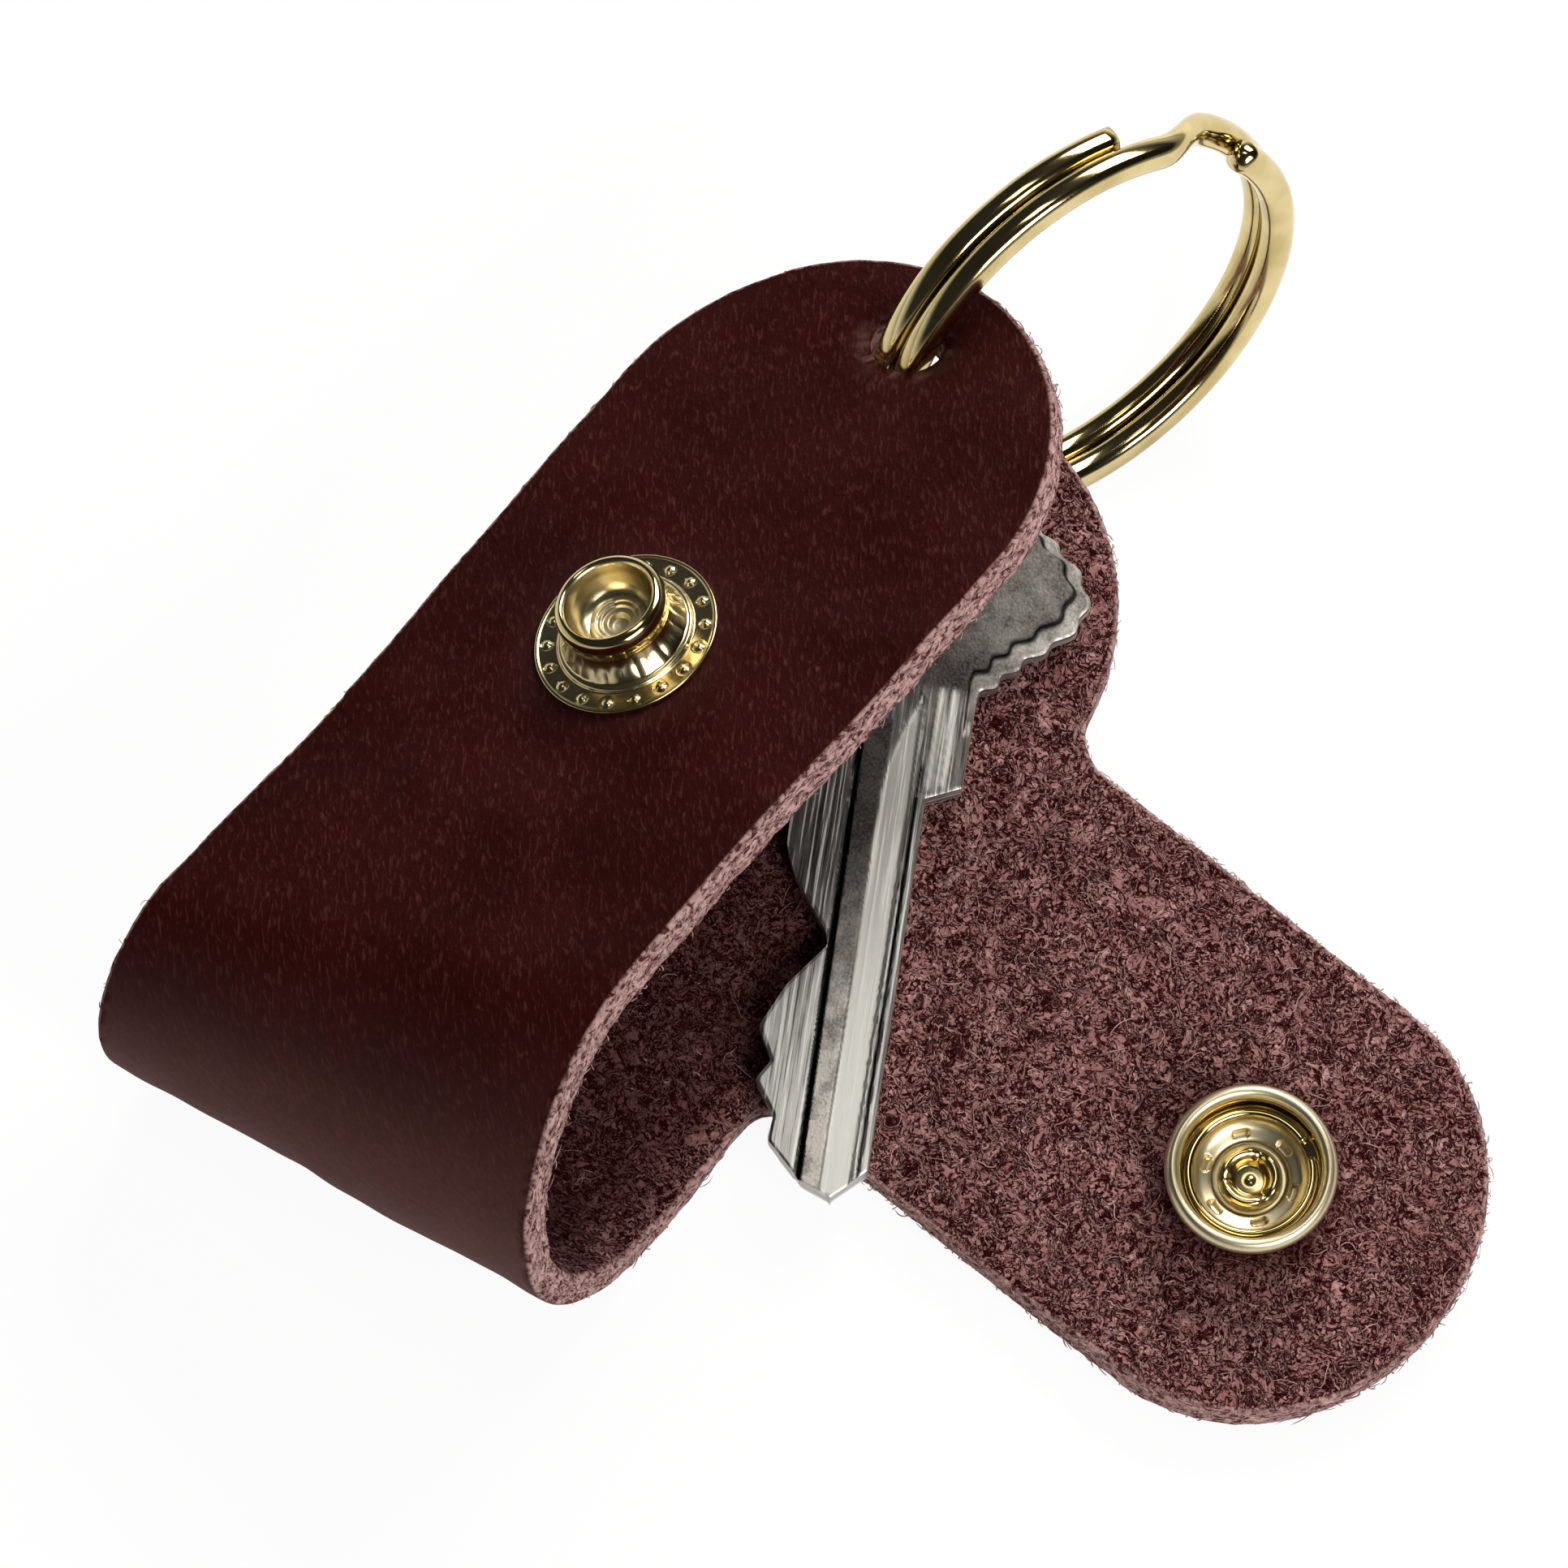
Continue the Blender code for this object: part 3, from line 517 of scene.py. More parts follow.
def fromRim(x, y, hole):
    # millimetres outside the rim, about
    return (np.linalg.norm(holeReach(x, y, hole), axis=-1) - 1) * math.sqrt(hole["size"][0] * hole["size"][1])


def leaned(x, y, height):
    # near a hole the sheet's places shift with their height, so that the hole leans
    for hole in holes.values():
        share = np.exp(-np.maximum(fromRim(x, y, hole), 0) / leanReach) * height
        x, y = x + hole["lean"][0] * share, y + hole["lean"][1] * share
    return onSheet(x, y, height)


studPlace = (snap["studX"], 2 * foldY + snap["studSetback"])


def fromStud(x, y):
    return np.hypot(x - studPlace[0], y - studPlace[1])


def fromSocket(x, y):
    return np.hypot(x - snap["place"], y)


def strapGrid():
    # Rows run from the back head to the front head and close at a pole, as the heads' rows are set by angle.
    # On the right, beside the tab, the edge isn't rounded.
    inset = strap["edgeRound"]
    angle = np.linspace(math.pi / 2, 0, strap["headRows"])[:-1]
    small = strap["headRadius"] - inset
    count = int((strap["backHead"] - frontHead) / strap["rowStep"])
    middle = np.linspace(strap["backHead"], frontHead, count)
    y = np.concatenate([strap["backHead"] + small * np.sin(angle), middle,
                        frontHead - small * np.sin(angle[::-1])])
    width = np.concatenate([small * np.cos(angle), panelHalf(middle) - inset, small * np.cos(angle[::-1])])
    fade = strap["roundFade"]
    beside = smooth(-tabRoot - fade, -tabRoot, y) * fall(rootTop, rootTop + fade, y)
    right = width * (1 - beside) + strapEdge(y) * beside
    x = -width[:, None] + (right + width)[:, None] * np.linspace(0, 1, strap["columns"])
    return x, np.broadcast_to(y[:, None], x.shape).copy(), inset * (1 - beside)


def roundBorder(grid):
    # the border of a grid, once round
    return np.concatenate([grid[:, 0], grid[-1, 1:], grid[-2::-1, -1], grid[0, -2::-1]])


def openHole(x, y, hole):
    # Widens the grid round a block of cells until the block's border is the hole's rim
    row = int(np.argmin(np.abs(y[:, 0] - hole["centre"][1])))
    column = int(np.argmin(np.abs(x[row] - hole["centre"][0])))
    size = strap["holeRows"]
    rows, columns = np.indices(x.shape)
    reach = np.maximum(np.abs(rows - row), np.abs(columns - column)) / size
    away = holeReach(x, y, hole)
    distance = np.maximum(np.linalg.norm(away, axis=-1), 1e-6)
    share = np.clip((reach - 1) / (strap["holeReach"] - 1), 0, 1)
    near = (reach >= 1 - 1e-9) & (share < 1)
    moved = distance + (1 - share) ** strap["holeEasing"] * (1 - distance / np.maximum(reach, 1))
    away = away * (np.where(near, moved / distance, 1.0)[..., None] * np.array(hole["size"]))
    turn = math.radians(hole["turn"])
    x[:] = hole["centre"][0] + away[..., 0] * math.cos(turn) - away[..., 1] * math.sin(turn)
    y[:] = hole["centre"][1] + away[..., 0] * math.sin(turn) + away[..., 1] * math.cos(turn)
    inside = (np.maximum(np.abs(rows + 0.5 - row), np.abs(columns + 0.5 - column)) < size)[:-1, :-1]
    block = np.s_[row - size:row + size + 1, column - size:column + size + 1]
    return inside, (roundBorder(rows[block]), roundBorder(columns[block]))


def loopLength(points):
    gaps = np.linalg.norm(np.diff(points, axis=0), axis=1)
    return np.concatenate([[0], np.cumsum(gaps)])


grainSide = dict(waves=((14.0, 3, 0.07), (4.5, 4, 0.025)), fall=0.28, fallWidth=0.8, calm=(6.0, 9.0),
                 bed=dict(depth=0.08, radius=6.3, width=0.7))
fleshSide = dict(waves=((3.2, 7, 0.05), (1.3, 8, 0.035), (14.0, 3, -0.05)), fall=0.22, fallWidth=0.7, calm=(4.4, 6.0))


def sideRelief(x, y, side):
    # waves of the hide (crest distance, seed, height) and a soft fall at the holes' rims, calm under the fitting
    level = sum(ripples(x, y, length, seed) * height for length, seed, height in side["waves"])
    for hole in holes.values():
        level = level - side["fall"] * hump(fromRim(x, y, hole), 0.0, side["fallWidth"])
    return level * smooth(*side["calm"], fromStud(x, y))


def grainRelief(x, y):
    # the stud's flange presses a bed into the grain
    bed = grainSide["bed"]
    return sideRelief(x, y, grainSide) - bed["depth"] * hump(fromStud(x, y), bed["radius"], bed["width"])


def fleshRelief(x, y):
    return sideRelief(x, y, fleshSide)


# lighter grain: bells of real wear round the rims and the stud, and a painted sheen across the fold
wearAndSheenBells = dict(
    rim=0.35, rimBell=(0.15, 0.5), rimEven=0.6, rimPatches=(1.2, 12), stud=0.06, studBell=(6.4, 1.2),
    fold=0.85, foldSheenStart=(-0.30, 0.10), foldSheenEnd=(0.30, 0.50),
)
# painted shade on the flesh side: rings round the fittings and a dark pocket beside the key
pocketShade = dict(
    corner=(7.8, 4.0), away=(0.862, 0.508), fade=(-2.0, 3.0), right=(12.5, 15.8), top=(16.0, 6.0),
    shadowDepth=0.8, socketRing=0.85, socketBell=(5.2, 1.1), studRing=0.5, studBell=(4.8, 0.7),
)


def wearAndSheenShare(x, y):
    # lighter leather: bells of real wear round the holes and the stud, and a painted sheen on the fold between two
    # lines from its tip
    worn = 0.0
    for hole in holes.values():
        patches = wearAndSheenBells["rimEven"] + ripples(x, y, *wearAndSheenBells["rimPatches"])
        worn = worn + wearAndSheenBells["rim"] * hump(fromRim(x, y, hole), *wearAndSheenBells["rimBell"]) * patches
    worn = worn + wearAndSheenBells["stud"] * hump(fromStud(x, y), *wearAndSheenBells["studBell"])
    slope = (y - foldY) / np.maximum(x - coneApex[0], 1.0)
    return worn + wearAndSheenBells["fold"] * smooth(*wearAndSheenBells["foldSheenStart"], slope) * fall(*wearAndSheenBells["foldSheenEnd"], slope)


def paintedShadeShare(x, y):
    # painted shade on the flesh side: a dark ring round each fitting, and the pocket beside the key on its closed
    # side, where the front panel and the key cast shade
    besideKey = (pocketShade["corner"][0] - x) * pocketShade["away"][0] + (pocketShade["corner"][1] - y) * pocketShade["away"][1]
    shadowed = smooth(*pocketShade["fade"], besideKey) * fall(*pocketShade["right"], x) * smooth(*pocketShade["top"], y)
    rings = pocketShade["socketRing"] * hump(fromSocket(x, y), *pocketShade["socketBell"])
    rings = rings + pocketShade["studRing"] * hump(fromStud(x, y), *pocketShade["studBell"])
    return rings + pocketShade["shadowDepth"] * shadowed


def sheetPatches(x, y, keep, free):
    # the two faces; their relief fades out where free is 0
    uv = together(x, y)
    grain = toWorld(leaned(x, y, -half - grainRelief(x, y) * free))
    flesh = toWorld(leaned(x, y, half + fleshRelief(x, y) * free))
    return [patch(grain, uv, keep, worn=wearAndSheenShare(x, y)),
            patch(flesh, uv, keep, flesh=1.0, pressed=paintedShadeShare(x, y))]


edge = dict(cornerPoints=5, sidePoints=9, coarse=1.8, coarseDepth=0.022, fine=0.6, fineDepth=0.03, cutSpread=0.35)


def edgePatch(loop, inset, free, closed, seed):
    # The cut edge: from the loop on the flesh side, round a corner, down the cut and round to the grain side.
    # The corners' radius is the inset of each point, and fibres push the cut in and out a little. The heights
    # follow the relief of the two faces.
    ahead = np.roll(loop, -1, axis=0) - np.roll(loop, 1, axis=0)
    if closed:
        ahead[0] = ahead[-1] = loop[1] - loop[-2]
    else:
        ahead[0], ahead[-1] = loop[1] - loop[0], loop[-1] - loop[-2]
    ahead = unit(ahead)
    turn = np.linspace(0, math.pi / 2, edge["cornerPoints"])
    along = loopLength(loop)
    corner = inset[None, :] * (1 - np.cos(turn))[:, None]
    side = np.linspace(1, -1, edge["sidePoints"] + 2)[1:-1, None] * (half - inset)[None, :]
    height = np.vstack([half - corner, side, -(half - corner)[::-1]])
    rise = inset * np.sin(turn)[:, None]
    push = np.vstack([rise, np.ones((edge["sidePoints"], 1)) * inset, rise[::-1]])
    middle = np.sin(np.linspace(0, math.pi, len(height)))[:, None]
    wave = (ripples(along[None, :], height, edge["coarse"], seed) * edge["coarseDepth"]
            + ripples(along[None, :], height * 2, edge["fine"], seed + 1) * edge["fineDepth"])
    push = push + wave * middle ** 0.5 * np.minimum(inset / strap["edgeRound"], 1)
    upper, lower = (relief(*loop.T) * free for relief in (fleshRelief, grainRelief))
    share = np.clip(height / strap["thickness"] + 0.5, 0, 1)
    raised = height + upper * share - lower * (1 - share)
    place = onSheet(loop[:, 0] - ahead[:, 1] * push, loop[:, 1] + ahead[:, 0] * push, raised)
    return patch(toWorld(place), together(along[None, :], height), cut=middle ** edge["cutSpread"],
                 flesh=smooth(-0.6, 1.0, height))


fibre = dict(
    points=7, sides=3, radius=(0.02, 0.05), length=(0.7, 3.0), bend=0.6, lift=0.14, spare=3, sink=0.06,
    edgeLength=(0.25, 0.9), edgeSweep=0.8, edgeCurl=0.35, edgeHeight=(-0.75, 1.0), edgeThickness=1.1,
    onStrap=900, onTab=1000, onStrapEdge=1500, onTabEdge=900, margin=0.4, holeMargin=1.2, postMargin=4.7,
    socketMargin=5.1, strapWidth=16.5, strapOver=16.0, tabStart=15.0,
)


def tubes(x, y, height, radius, keep=slice(None), **values):
    # Thin tubes along many paths at once, one in each row of x, y and height: a small circle is carried along
    # the path and closes to a point at both ends.
    middle = onSheet(x, y, height)
    ahead = unit(np.gradient(middle, axis=1))
    above = onSheet(x, y, height + 0.5) - middle
    side = unit(np.cross(ahead, above))
    above = np.cross(side, ahead)
    turn = np.linspace(0, tau, fibre["sides"] + 1)[:, None]
    size = radius[:, None] * np.sin(np.pi * np.linspace(0, 1, x.shape[1])) ** 0.4
    circle = side[..., None, :] * np.cos(turn) + above[..., None, :] * np.sin(turn)
    points = toWorld(middle[..., None, :] + circle * size[..., None, None])
    uv = together(x, y)[:, :, None, :] * np.ones((fibre["sides"] + 1, 1))
    return patch(points[keep], uv[keep], flesh=1.0, **values)


def strayFibres(count, low, high, allowed, seed):
    # hairs in loose curves on the flesh side; more are drawn than kept, as some lie where none may
    random = np.random.default_rng(seed)
    drawn = count * fibre["spare"]
    x, y = random.uniform(low, high, (drawn, 2)).T
    heading, phase = random.uniform(0, tau, (2, drawn))
    length = random.uniform(*fibre["length"], drawn) * random.uniform(0.4, 1, drawn)
    bend, wiggle = random.normal(0, fibre["bend"], (2, drawn))
    share = np.linspace(0, 1, fibre["points"])
    angle = heading[:, None] + bend[:, None] * (2 * share - 1)
    angle = angle + wiggle[:, None] * np.sin(tau * share + phase[:, None])
    step = (length / (fibre["points"] - 1))[:, None]
    x = x[:, None] + np.cumsum(np.cos(angle), axis=1) * step
    y = y[:, None] + np.cumsum(np.sin(angle), axis=1) * step
    good = np.flatnonzero(allowed(x, y).all(axis=1))[:count]
    x, y = x[good], y[good]
    rise = random.uniform(0.0, fibre["lift"], len(good))[:, None] * np.sin(np.pi * share) ** 2
    height = half + fleshRelief(x, y) + 0.01 + rise
    radius = random.uniform(*fibre["radius"], len(good))
    strand = random.uniform(0.1, 1.0, len(good)) ** 1.5
    return tubes(x, y, height, radius, strand=strand[:, None, None])


def edgeFibres(count, loop, rim, seed):
    # short tufts that stand out of the cut edge
    random = np.random.default_rng(seed)
    along = loopLength(loop)
    place = np.sort(random.uniform(0.02, 0.98, count)) * along[-1]
    slope = unit(np.gradient(loop, axis=0))
    x, y, slopeX, slopeY, push = (np.interp(place, along, line)[:, None] for line in (*loop.T, *slope.T, rim))
    share = np.linspace(0, 1, fibre["points"])
    length = random.uniform(*fibre["edgeLength"], count)[:, None]
    sweep = random.normal(0, fibre["edgeSweep"], count)[:, None] * share ** 1.3
    curl = random.normal(0, fibre["edgeCurl"], count)[:, None] * share ** 2
    reach = random.uniform(0.1, 0.5, count)[:, None] * length
    out = push - fibre["sink"] + reach * np.sin(share * random.uniform(1.2, 2.6, count)[:, None])
    x, y = x - slopeY * out + slopeX * sweep * length, y + slopeX * out + slopeY * sweep * length
    height = random.uniform(*fibre["edgeHeight"], count)[:, None] + curl * length
    radius = random.uniform(*fibre["radius"], count) * fibre["edgeThickness"]
    return tubes(x, y, height, radius, push[:, 0] > 0.3, strand=0.8, cut=0.4)


def onStrapFlesh(x, y):
    # inside the strap's outline, clear of its holes and of the stud's post
    reach = strap["headRadius"] - fibre["margin"]
    good = (np.abs(x) < strapEdge(y) - fibre["margin"]) & (y < strap["backHead"] + reach) & (y > frontHead - reach)
    for hole in holes.values():
        good &= fromRim(x, y, hole) > fibre["holeMargin"]
    return good & (fromStud(x, y) > fibre["postMargin"])


def onTabFlesh(x, y):
    # the same for the tab, clear of the strap and of the socket
    over = np.maximum(x - (tab["reach"] - tab["roundDepth"]), 0) / tab["roundDepth"]
    good = np.abs(y) < (tab["half"] - fibre["margin"]) * np.sqrt(np.maximum(1 - over ** 2, 0))
    return good & (x > strapEdge(y) + 0.2) & (fromSocket(x, y) > fibre["socketMargin"])


def makeStrap():
    x, y, inset = strapGrid()
    inside = np.zeros((x.shape[0] - 1, x.shape[1] - 1), bool)
    loops = []
    for hole in holes.values():
        dropped, loop = openHole(x, y, hole)
        inside |= dropped
        loops.append(loop)
    beside = 1 - inset / strap["edgeRound"]
    free = 1 - beside[:, None] * smooth(0.94, 1.0, np.linspace(0, 1, strap["columns"]))
    patches = sheetPatches(x, y, ~inside, free)
    loop = np.vstack([together(x[:, -1], y[:, -1]), together(x[::-1, 0], y[::-1, 0])[1:]])
    rimInset = np.concatenate([inset, np.full(len(y) - 1, strap["edgeRound"])])
    rimFree = 1 - np.concatenate([beside, np.zeros(len(y) - 1)])
    patches.append(edgePatch(loop, rimInset, rimFree, closed=True, seed=11))
    depth = np.linspace(1, -1, 9)[:, None]
    for ring in loops:  # the holes' walls
        wallX, wallY = x[ring], y[ring]
        upper, lower = half + fleshRelief(wallX, wallY), -half - grainRelief(wallX, wallY)
        height = lower + (upper - lower) * (depth + 1) / 2
        uv = together(loopLength(together(wallX, wallY)), height)
        patches.append(patch(toWorld(leaned(wallX, wallY, height)), uv, cut=0.85 * (1 - depth ** 4),
                             flesh=smooth(-0.4, 0.6, depth)))
    wide, over = fibre["strapWidth"], fibre["strapOver"]
    low, high = (-wide, frontHead - over), (wide, strap["backHead"] + over)
    patches.append(strayFibres(fibre["onStrap"], low, high, onStrapFlesh, seed=31))
    patches.append(edgeFibres(fibre["onStrapEdge"], loop, rimInset, seed=32))
    return makePiece("leatherStrap", patches, leatherMaterial)


leatherStrap = makeStrap()


def tabBorder(x, y, side):
    # one border of the tab: its fillet, a straight, and half of the elliptic end
    endX = tab["reach"] - tab["roundDepth"]
    steps = int((endX - upperCentreX) / tab["rowStep"])
    turn = np.linspace(0, math.pi / 2, tab["endRows"])[1:]
    return np.vstack([together(x, y), together(np.linspace(x[-1], endX, steps)[1:], side * tab["half"]),
                      together(endX + tab["roundDepth"] * np.sin(turn), side * tab["half"] * np.cos(turn))])


def tabGrid():
    # Each row joins a point of the lower border to one of the upper border, and they meet at a pole at the
    # tab's end. The first row follows the strap's edge.
    small, large = tab["lowerFillet"], tab["upperFillet"]
    lowTurn = np.linspace(math.pi, math.pi / 2, tab["filletRows"])
    highTurn = np.linspace(math.pi + upperTouch, 1.5 * math.pi, tab["filletRows"])
    lowX = float(strapEdge(np.array(-tabRoot))) + small * (1 + np.cos(lowTurn))
    low = tabBorder(lowX, -tabRoot + small * np.sin(lowTurn), -1)
    high = tabBorder(upperCentreX + large * np.cos(highTurn), upperCentreY + large * np.sin(highTurn), 1)
    loop = np.vstack([high, low[::-1][1:]])
    ahead = np.gradient(loop, axis=0)
    out = unit(together(-ahead[:, 1], ahead[:, 0]))
    rise = loopLength(loop)
    rim = strap["edgeRound"] * smooth(0.0, tab["edgeFade"], rise) * smooth(0.0, tab["edgeFade"], rise[-1] - rise)
    inner = loop - out * rim[:, None]
    rows = len(high)
    high, low = inner[:rows], inner[rows - 1:][::-1]
    across = np.linspace(0, 1, tab["columns"])
    x, y = (low[:, [i]] + (high - low)[:, [i]] * across for i in (0, 1))
    bulge = strapEdge(y[0]) - x[0]
    x = x + bulge * fall(0, tab["rootFade"], np.linspace(0, rise[rows - 1], rows))[:, None]
    return x, y, inner, rim


def makeTab():
    # The first row is carried on a little under the strap's edge, and sunk, so that the two pieces overlap
    x, y, loop, rim = tabGrid()
    x, y = np.vstack([x[0] - tab["underStrap"], x]), np.vstack([y[0], y])
    patches = sheetPatches(x, y, None, smooth(*tab["calm"], x))
    for item, sign in zip(patches, (-1, 1)):
        item["points"][0] -= upWorld * sign * tab["underDrop"] * mm
    ends = np.stack([item["points"][0] for item in patches])
    patches.append(edgePatch(loop, rim, smooth(*tab["calm"], loop[:, 0]), closed=False, seed=21))
    patches.append(patch(ends, np.zeros((2, x.shape[1], 2)), cut=1.0))
    low, high = (fibre["tabStart"], -tab["half"]), (tab["reach"], tab["half"])
    patches.append(strayFibres(fibre["onTab"], low, high, onTabFlesh, seed=41))
    patches.append(edgeFibres(fibre["onTabEdge"], loop, rim, seed=42))
    return makePiece("leatherTab", patches, leatherMaterial)


leatherTab = makeTab()


stud = dict(
    profile=[(1.8, 0.0, 0.02), (6.0, 0.0, 0.1), (6.02, 0.33, 0.1), (5.82, 0.35, 0.06), (5.74, 0.27, 0.06),
             (4.52, 0.24, 0.08), (4.42, 0.52, 0.12), (4.14, 0.56, 0.12), (3.6, 1.45, 0.3), (3.34, 2.2, 0.2),
             (3.58, 2.5, 0.35), (3.66, 3.1, 0.5), (3.56, 3.85, 0.55), (3.1, 4.14, 0.2), (2.86, 3.9, 0.12),
             (2.8, 3.5, 0.15), (2.76, 3.0, 0.2), (2.5, 2.1, 0.5), (2.05, 1.62, 0.35), (1.8, 1.55, 0.02)],
    beads=18, beadsRadius=5.2, beadHeight=0.14, beadRadius=0.3, flangeTop=(0.15, 0.25), flangeHeight=0.6,
    moatDepth=0.05, moatBell=(0.36, 0.07), flutes=24, fluteDepth=0.08, fluteBell=(1.25, 0.5),
)


def makeStud():
    # A turned shell with a ring of small beads on its flange and flutes round its neck
    radius, angle, height = turnedGrid(stud["profile"], 361)
    aside = fromNearest(angle, stud["beads"]) * stud["beadsRadius"]
    away = np.hypot(radius - stud["beadsRadius"], aside)
    top = smooth(*stud["flangeTop"], height) * (height < stud["flangeHeight"])
    height = height + stud["beadHeight"] * np.sqrt(np.maximum(1 - (away / stud["beadRadius"]) ** 2, 0)) * top
    height = height - stud["moatDepth"] * hump(away, *stud["moatBell"]) * top
    flute = hump(height, *stud["fluteBell"]) * (radius > 2.8) * (height > 0.58)
    radius = radius + stud["fluteDepth"] * (np.abs(np.sin(angle * stud["flutes"] / 2)) - 0.6) * flute
    satin = 0.6 * ((radius < 2.95) & (height > 1.3)) + 0.4 * (height < stud["flangeHeight"]) + 0.5 * flute
    place = frameAt(*studPlace, -half, -1)
    return turnedPiece("snapStud", (radius, angle, height), place, brassMaterial, satin=satin)


post = dict(
    profile=[(0.0, -0.06, 0.0), (0.7, -0.06, 0.04), (0.78, -0.3, 0.05), (4.4, -0.28, 0.15), (4.6, -0.1, 0.1),
             (4.5, 0.02, 0.05), (1.5, 0.02, 0.05), (1.5, 3.72, 0.02), (1.9, 3.78, 0.1), (1.85, 4.02, 0.14),
             (1.5, 4.1, 0.1), (1.4, 3.94, 0.06), (1.18, 3.96, 0.06), (1.08, 3.76, 0.06), (0.72, 3.78, 0.08),
             (0.55, 3.4, 0.1), (0.0, 3.3, 0.0)],
    lip=(3.75, 4.0), petals=5, petalDepth=0.06, petalTurn=0.0, petalPower=12,
)


def petalled(name, fitting, place, **values):
    # A turned eyelet. Its rolled lip sinks at the splits between its petals, by a high power of a cosine.
    radius, angle, height = turnedGrid(fitting["profile"])
    wave = np.abs(np.cos(angle * fitting["petals"] / 2 + fitting["petalTurn"])) ** fitting["petalPower"]
    height = height - fitting["petalDepth"] * smooth(*fitting["lip"], height) * wave
    return turnedPiece(name, (radius, angle, height), place, softBrassMaterial, **values)


socketFrame = frameAt(snap["place"], 0.0, half, 1)
socket = dict(
    profile=[(1.8, 0.0, 0.02), (4.9, 0.0, 0.2), (5.0, 0.4, 0.2), (5.0, 2.5, 0.2), (5.4, 2.75, 0.3),
             (5.55, 3.4, 0.5), (5.1, 3.98, 0.5), (4.62, 3.8, 0.35), (4.46, 3.2, 0.15), (4.44, 1.85, 0.1),
             (3.98, 1.76, 0.06), (3.74, 1.72, 0.12), (3.7, 1.28, 0.2), (3.25, 0.92, 0.2), (2.5, 0.70, 0.2),
             (2.36, 0.45, 0.12), (1.8, 0.42, 0.02)],
    slots=6, slotRadius=2.92, slotHalfLength=0.56, slotHalfWidth=0.24, slotDepth=0.42,
    slotRim=(0.6, 1.15), slotStart=0.35,
)


def makeSocket():
    # A turned shell; six slots with round ends are sunk into its funnel
    radius, angle, height = turnedGrid(socket["profile"], 361)
    aside = fromNearest(angle - socket["slotStart"], socket["slots"]) * socket["slotRadius"]
    past = np.maximum(np.abs(aside) - socket["slotHalfLength"] + socket["slotHalfWidth"], 0)
    away = np.hypot(past, radius - socket["slotRadius"])
    inFunnel = (height > 0.6) & (height < 1.3) & (radius < 3.6)
    height = height - socket["slotDepth"] * fall(*socket["slotRim"], away / socket["slotHalfWidth"]) * inFunnel
    satin = smooth(2.5, 2.8, height) * (radius > 4.5) + 0.9 * (radius < 3.7) * (height > 0.3)
    return turnedPiece("snapSocket", (radius, angle, height), socketFrame, brassMaterial, satin=satin)


spring = dict(radius=3.93, wire=0.28, height=2.08, splitAt=62.0, splitWidth=14.0, steps=180, sectionPoints=16)


def makeSpring():
    # round wire carried along an open circle, with domed ends
    along = np.linspace(0, 1, spring["steps"] + 1)
    start = math.radians(spring["splitAt"] + spring["splitWidth"] / 2)
    angle = (start + along * (tau - math.radians(spring["splitWidth"])))[:, None]
    ends = np.clip(np.minimum(along, 1 - along) * spring["steps"] / 2, 0, 1)
    size = (spring["wire"] * np.sqrt(1 - (1 - ends) ** 2))[:, None]
    turn = np.linspace(0, tau, spring["sectionPoints"] + 1)
    points = fromPolar(spring["radius"] + size * np.cos(turn), angle, spring["height"] + size * np.sin(turn))
    return makePiece("socketSpring", [patch(placed(points, *socketFrame), together(angle, turn))], brassMaterial)


cap = dict(
    profile=[(0.0, 0.0, 0.0), (2.0, 0.02, 0.3), (4.4, 0.28, 0.5), (5.9, 0.85, 0.5), (6.2, 1.2, 0.25),
             (6.05, 1.56, 0.15), (5.6, 1.58, 0.1), (1.5, 1.58, 0.1), (1.5, 4.25, 0.02), (2.0, 4.3, 0.2),
             (2.12, 4.7, 0.3), (1.75, 5.12, 0.3), (1.3, 4.95, 0.25), (1.1, 4.4, 0.2), (0.98, 4.02, 0.1),
             (0.35, 3.96, 0.2), (0.0, 4.1, 0.0)],
    height=1.6, lip=(4.4, 4.8), petals=3, petalDepth=0.24, petalTurn=0.4, petalPower=14,
)


snapStud = makeStud()
studPost = petalled("studPost", post, frameAt(*studPlace, half, -1), satin=1.0)
snapSocket, socketSpring = makeSocket(), makeSpring()
snapCap = petalled("snapCap", cap, frameAt(snap["place"], 0.0, -half - cap["height"], 1))


ring = dict(
    outerDiameter=31.9, wireRadial=2.1, wireAxial=1.84, pitch=1.95, yaw=14.2, tipAngle=63.0, endDome=0.5,
    backPlace=(-0.41, 9.49), frontPlace=(-0.83, 9.84), crossAngle=21.0, turns=2, steps=150, sectionPoints=32,
    squareness=2.6,
)
ringRadius = (ring["outerDiameter"] - ring["wireRadial"]) / 2
crossBack = np.array([ring["backPlace"][0], strap["backHead"] + ring["backPlace"][1], 0.0])
crossFront = onSheet(ring["frontPlace"][0], frontHead - ring["frontPlace"][1], 0.0)
chord = crossFront - crossBack
chordAxis = unit(chord)
outwards = unit(np.array([0.0, 1.0, 0.0]) - chordAxis[1] * chordAxis)
sideways = np.cross(outwards, chordAxis)
ringYaw = math.radians(ring["yaw"])
ringOut = math.cos(ringYaw) * outwards + math.sin(ringYaw) * sideways
ringCentre = (crossFront + crossBack) / 2 + ringOut * math.sqrt(ringRadius ** 2 - (chord @ chord) / 4)
ringNormal = np.cross(ringOut, chordAxis)
ringAxes = np.array([ringOut, np.cross(ringNormal, ringOut), ringNormal])


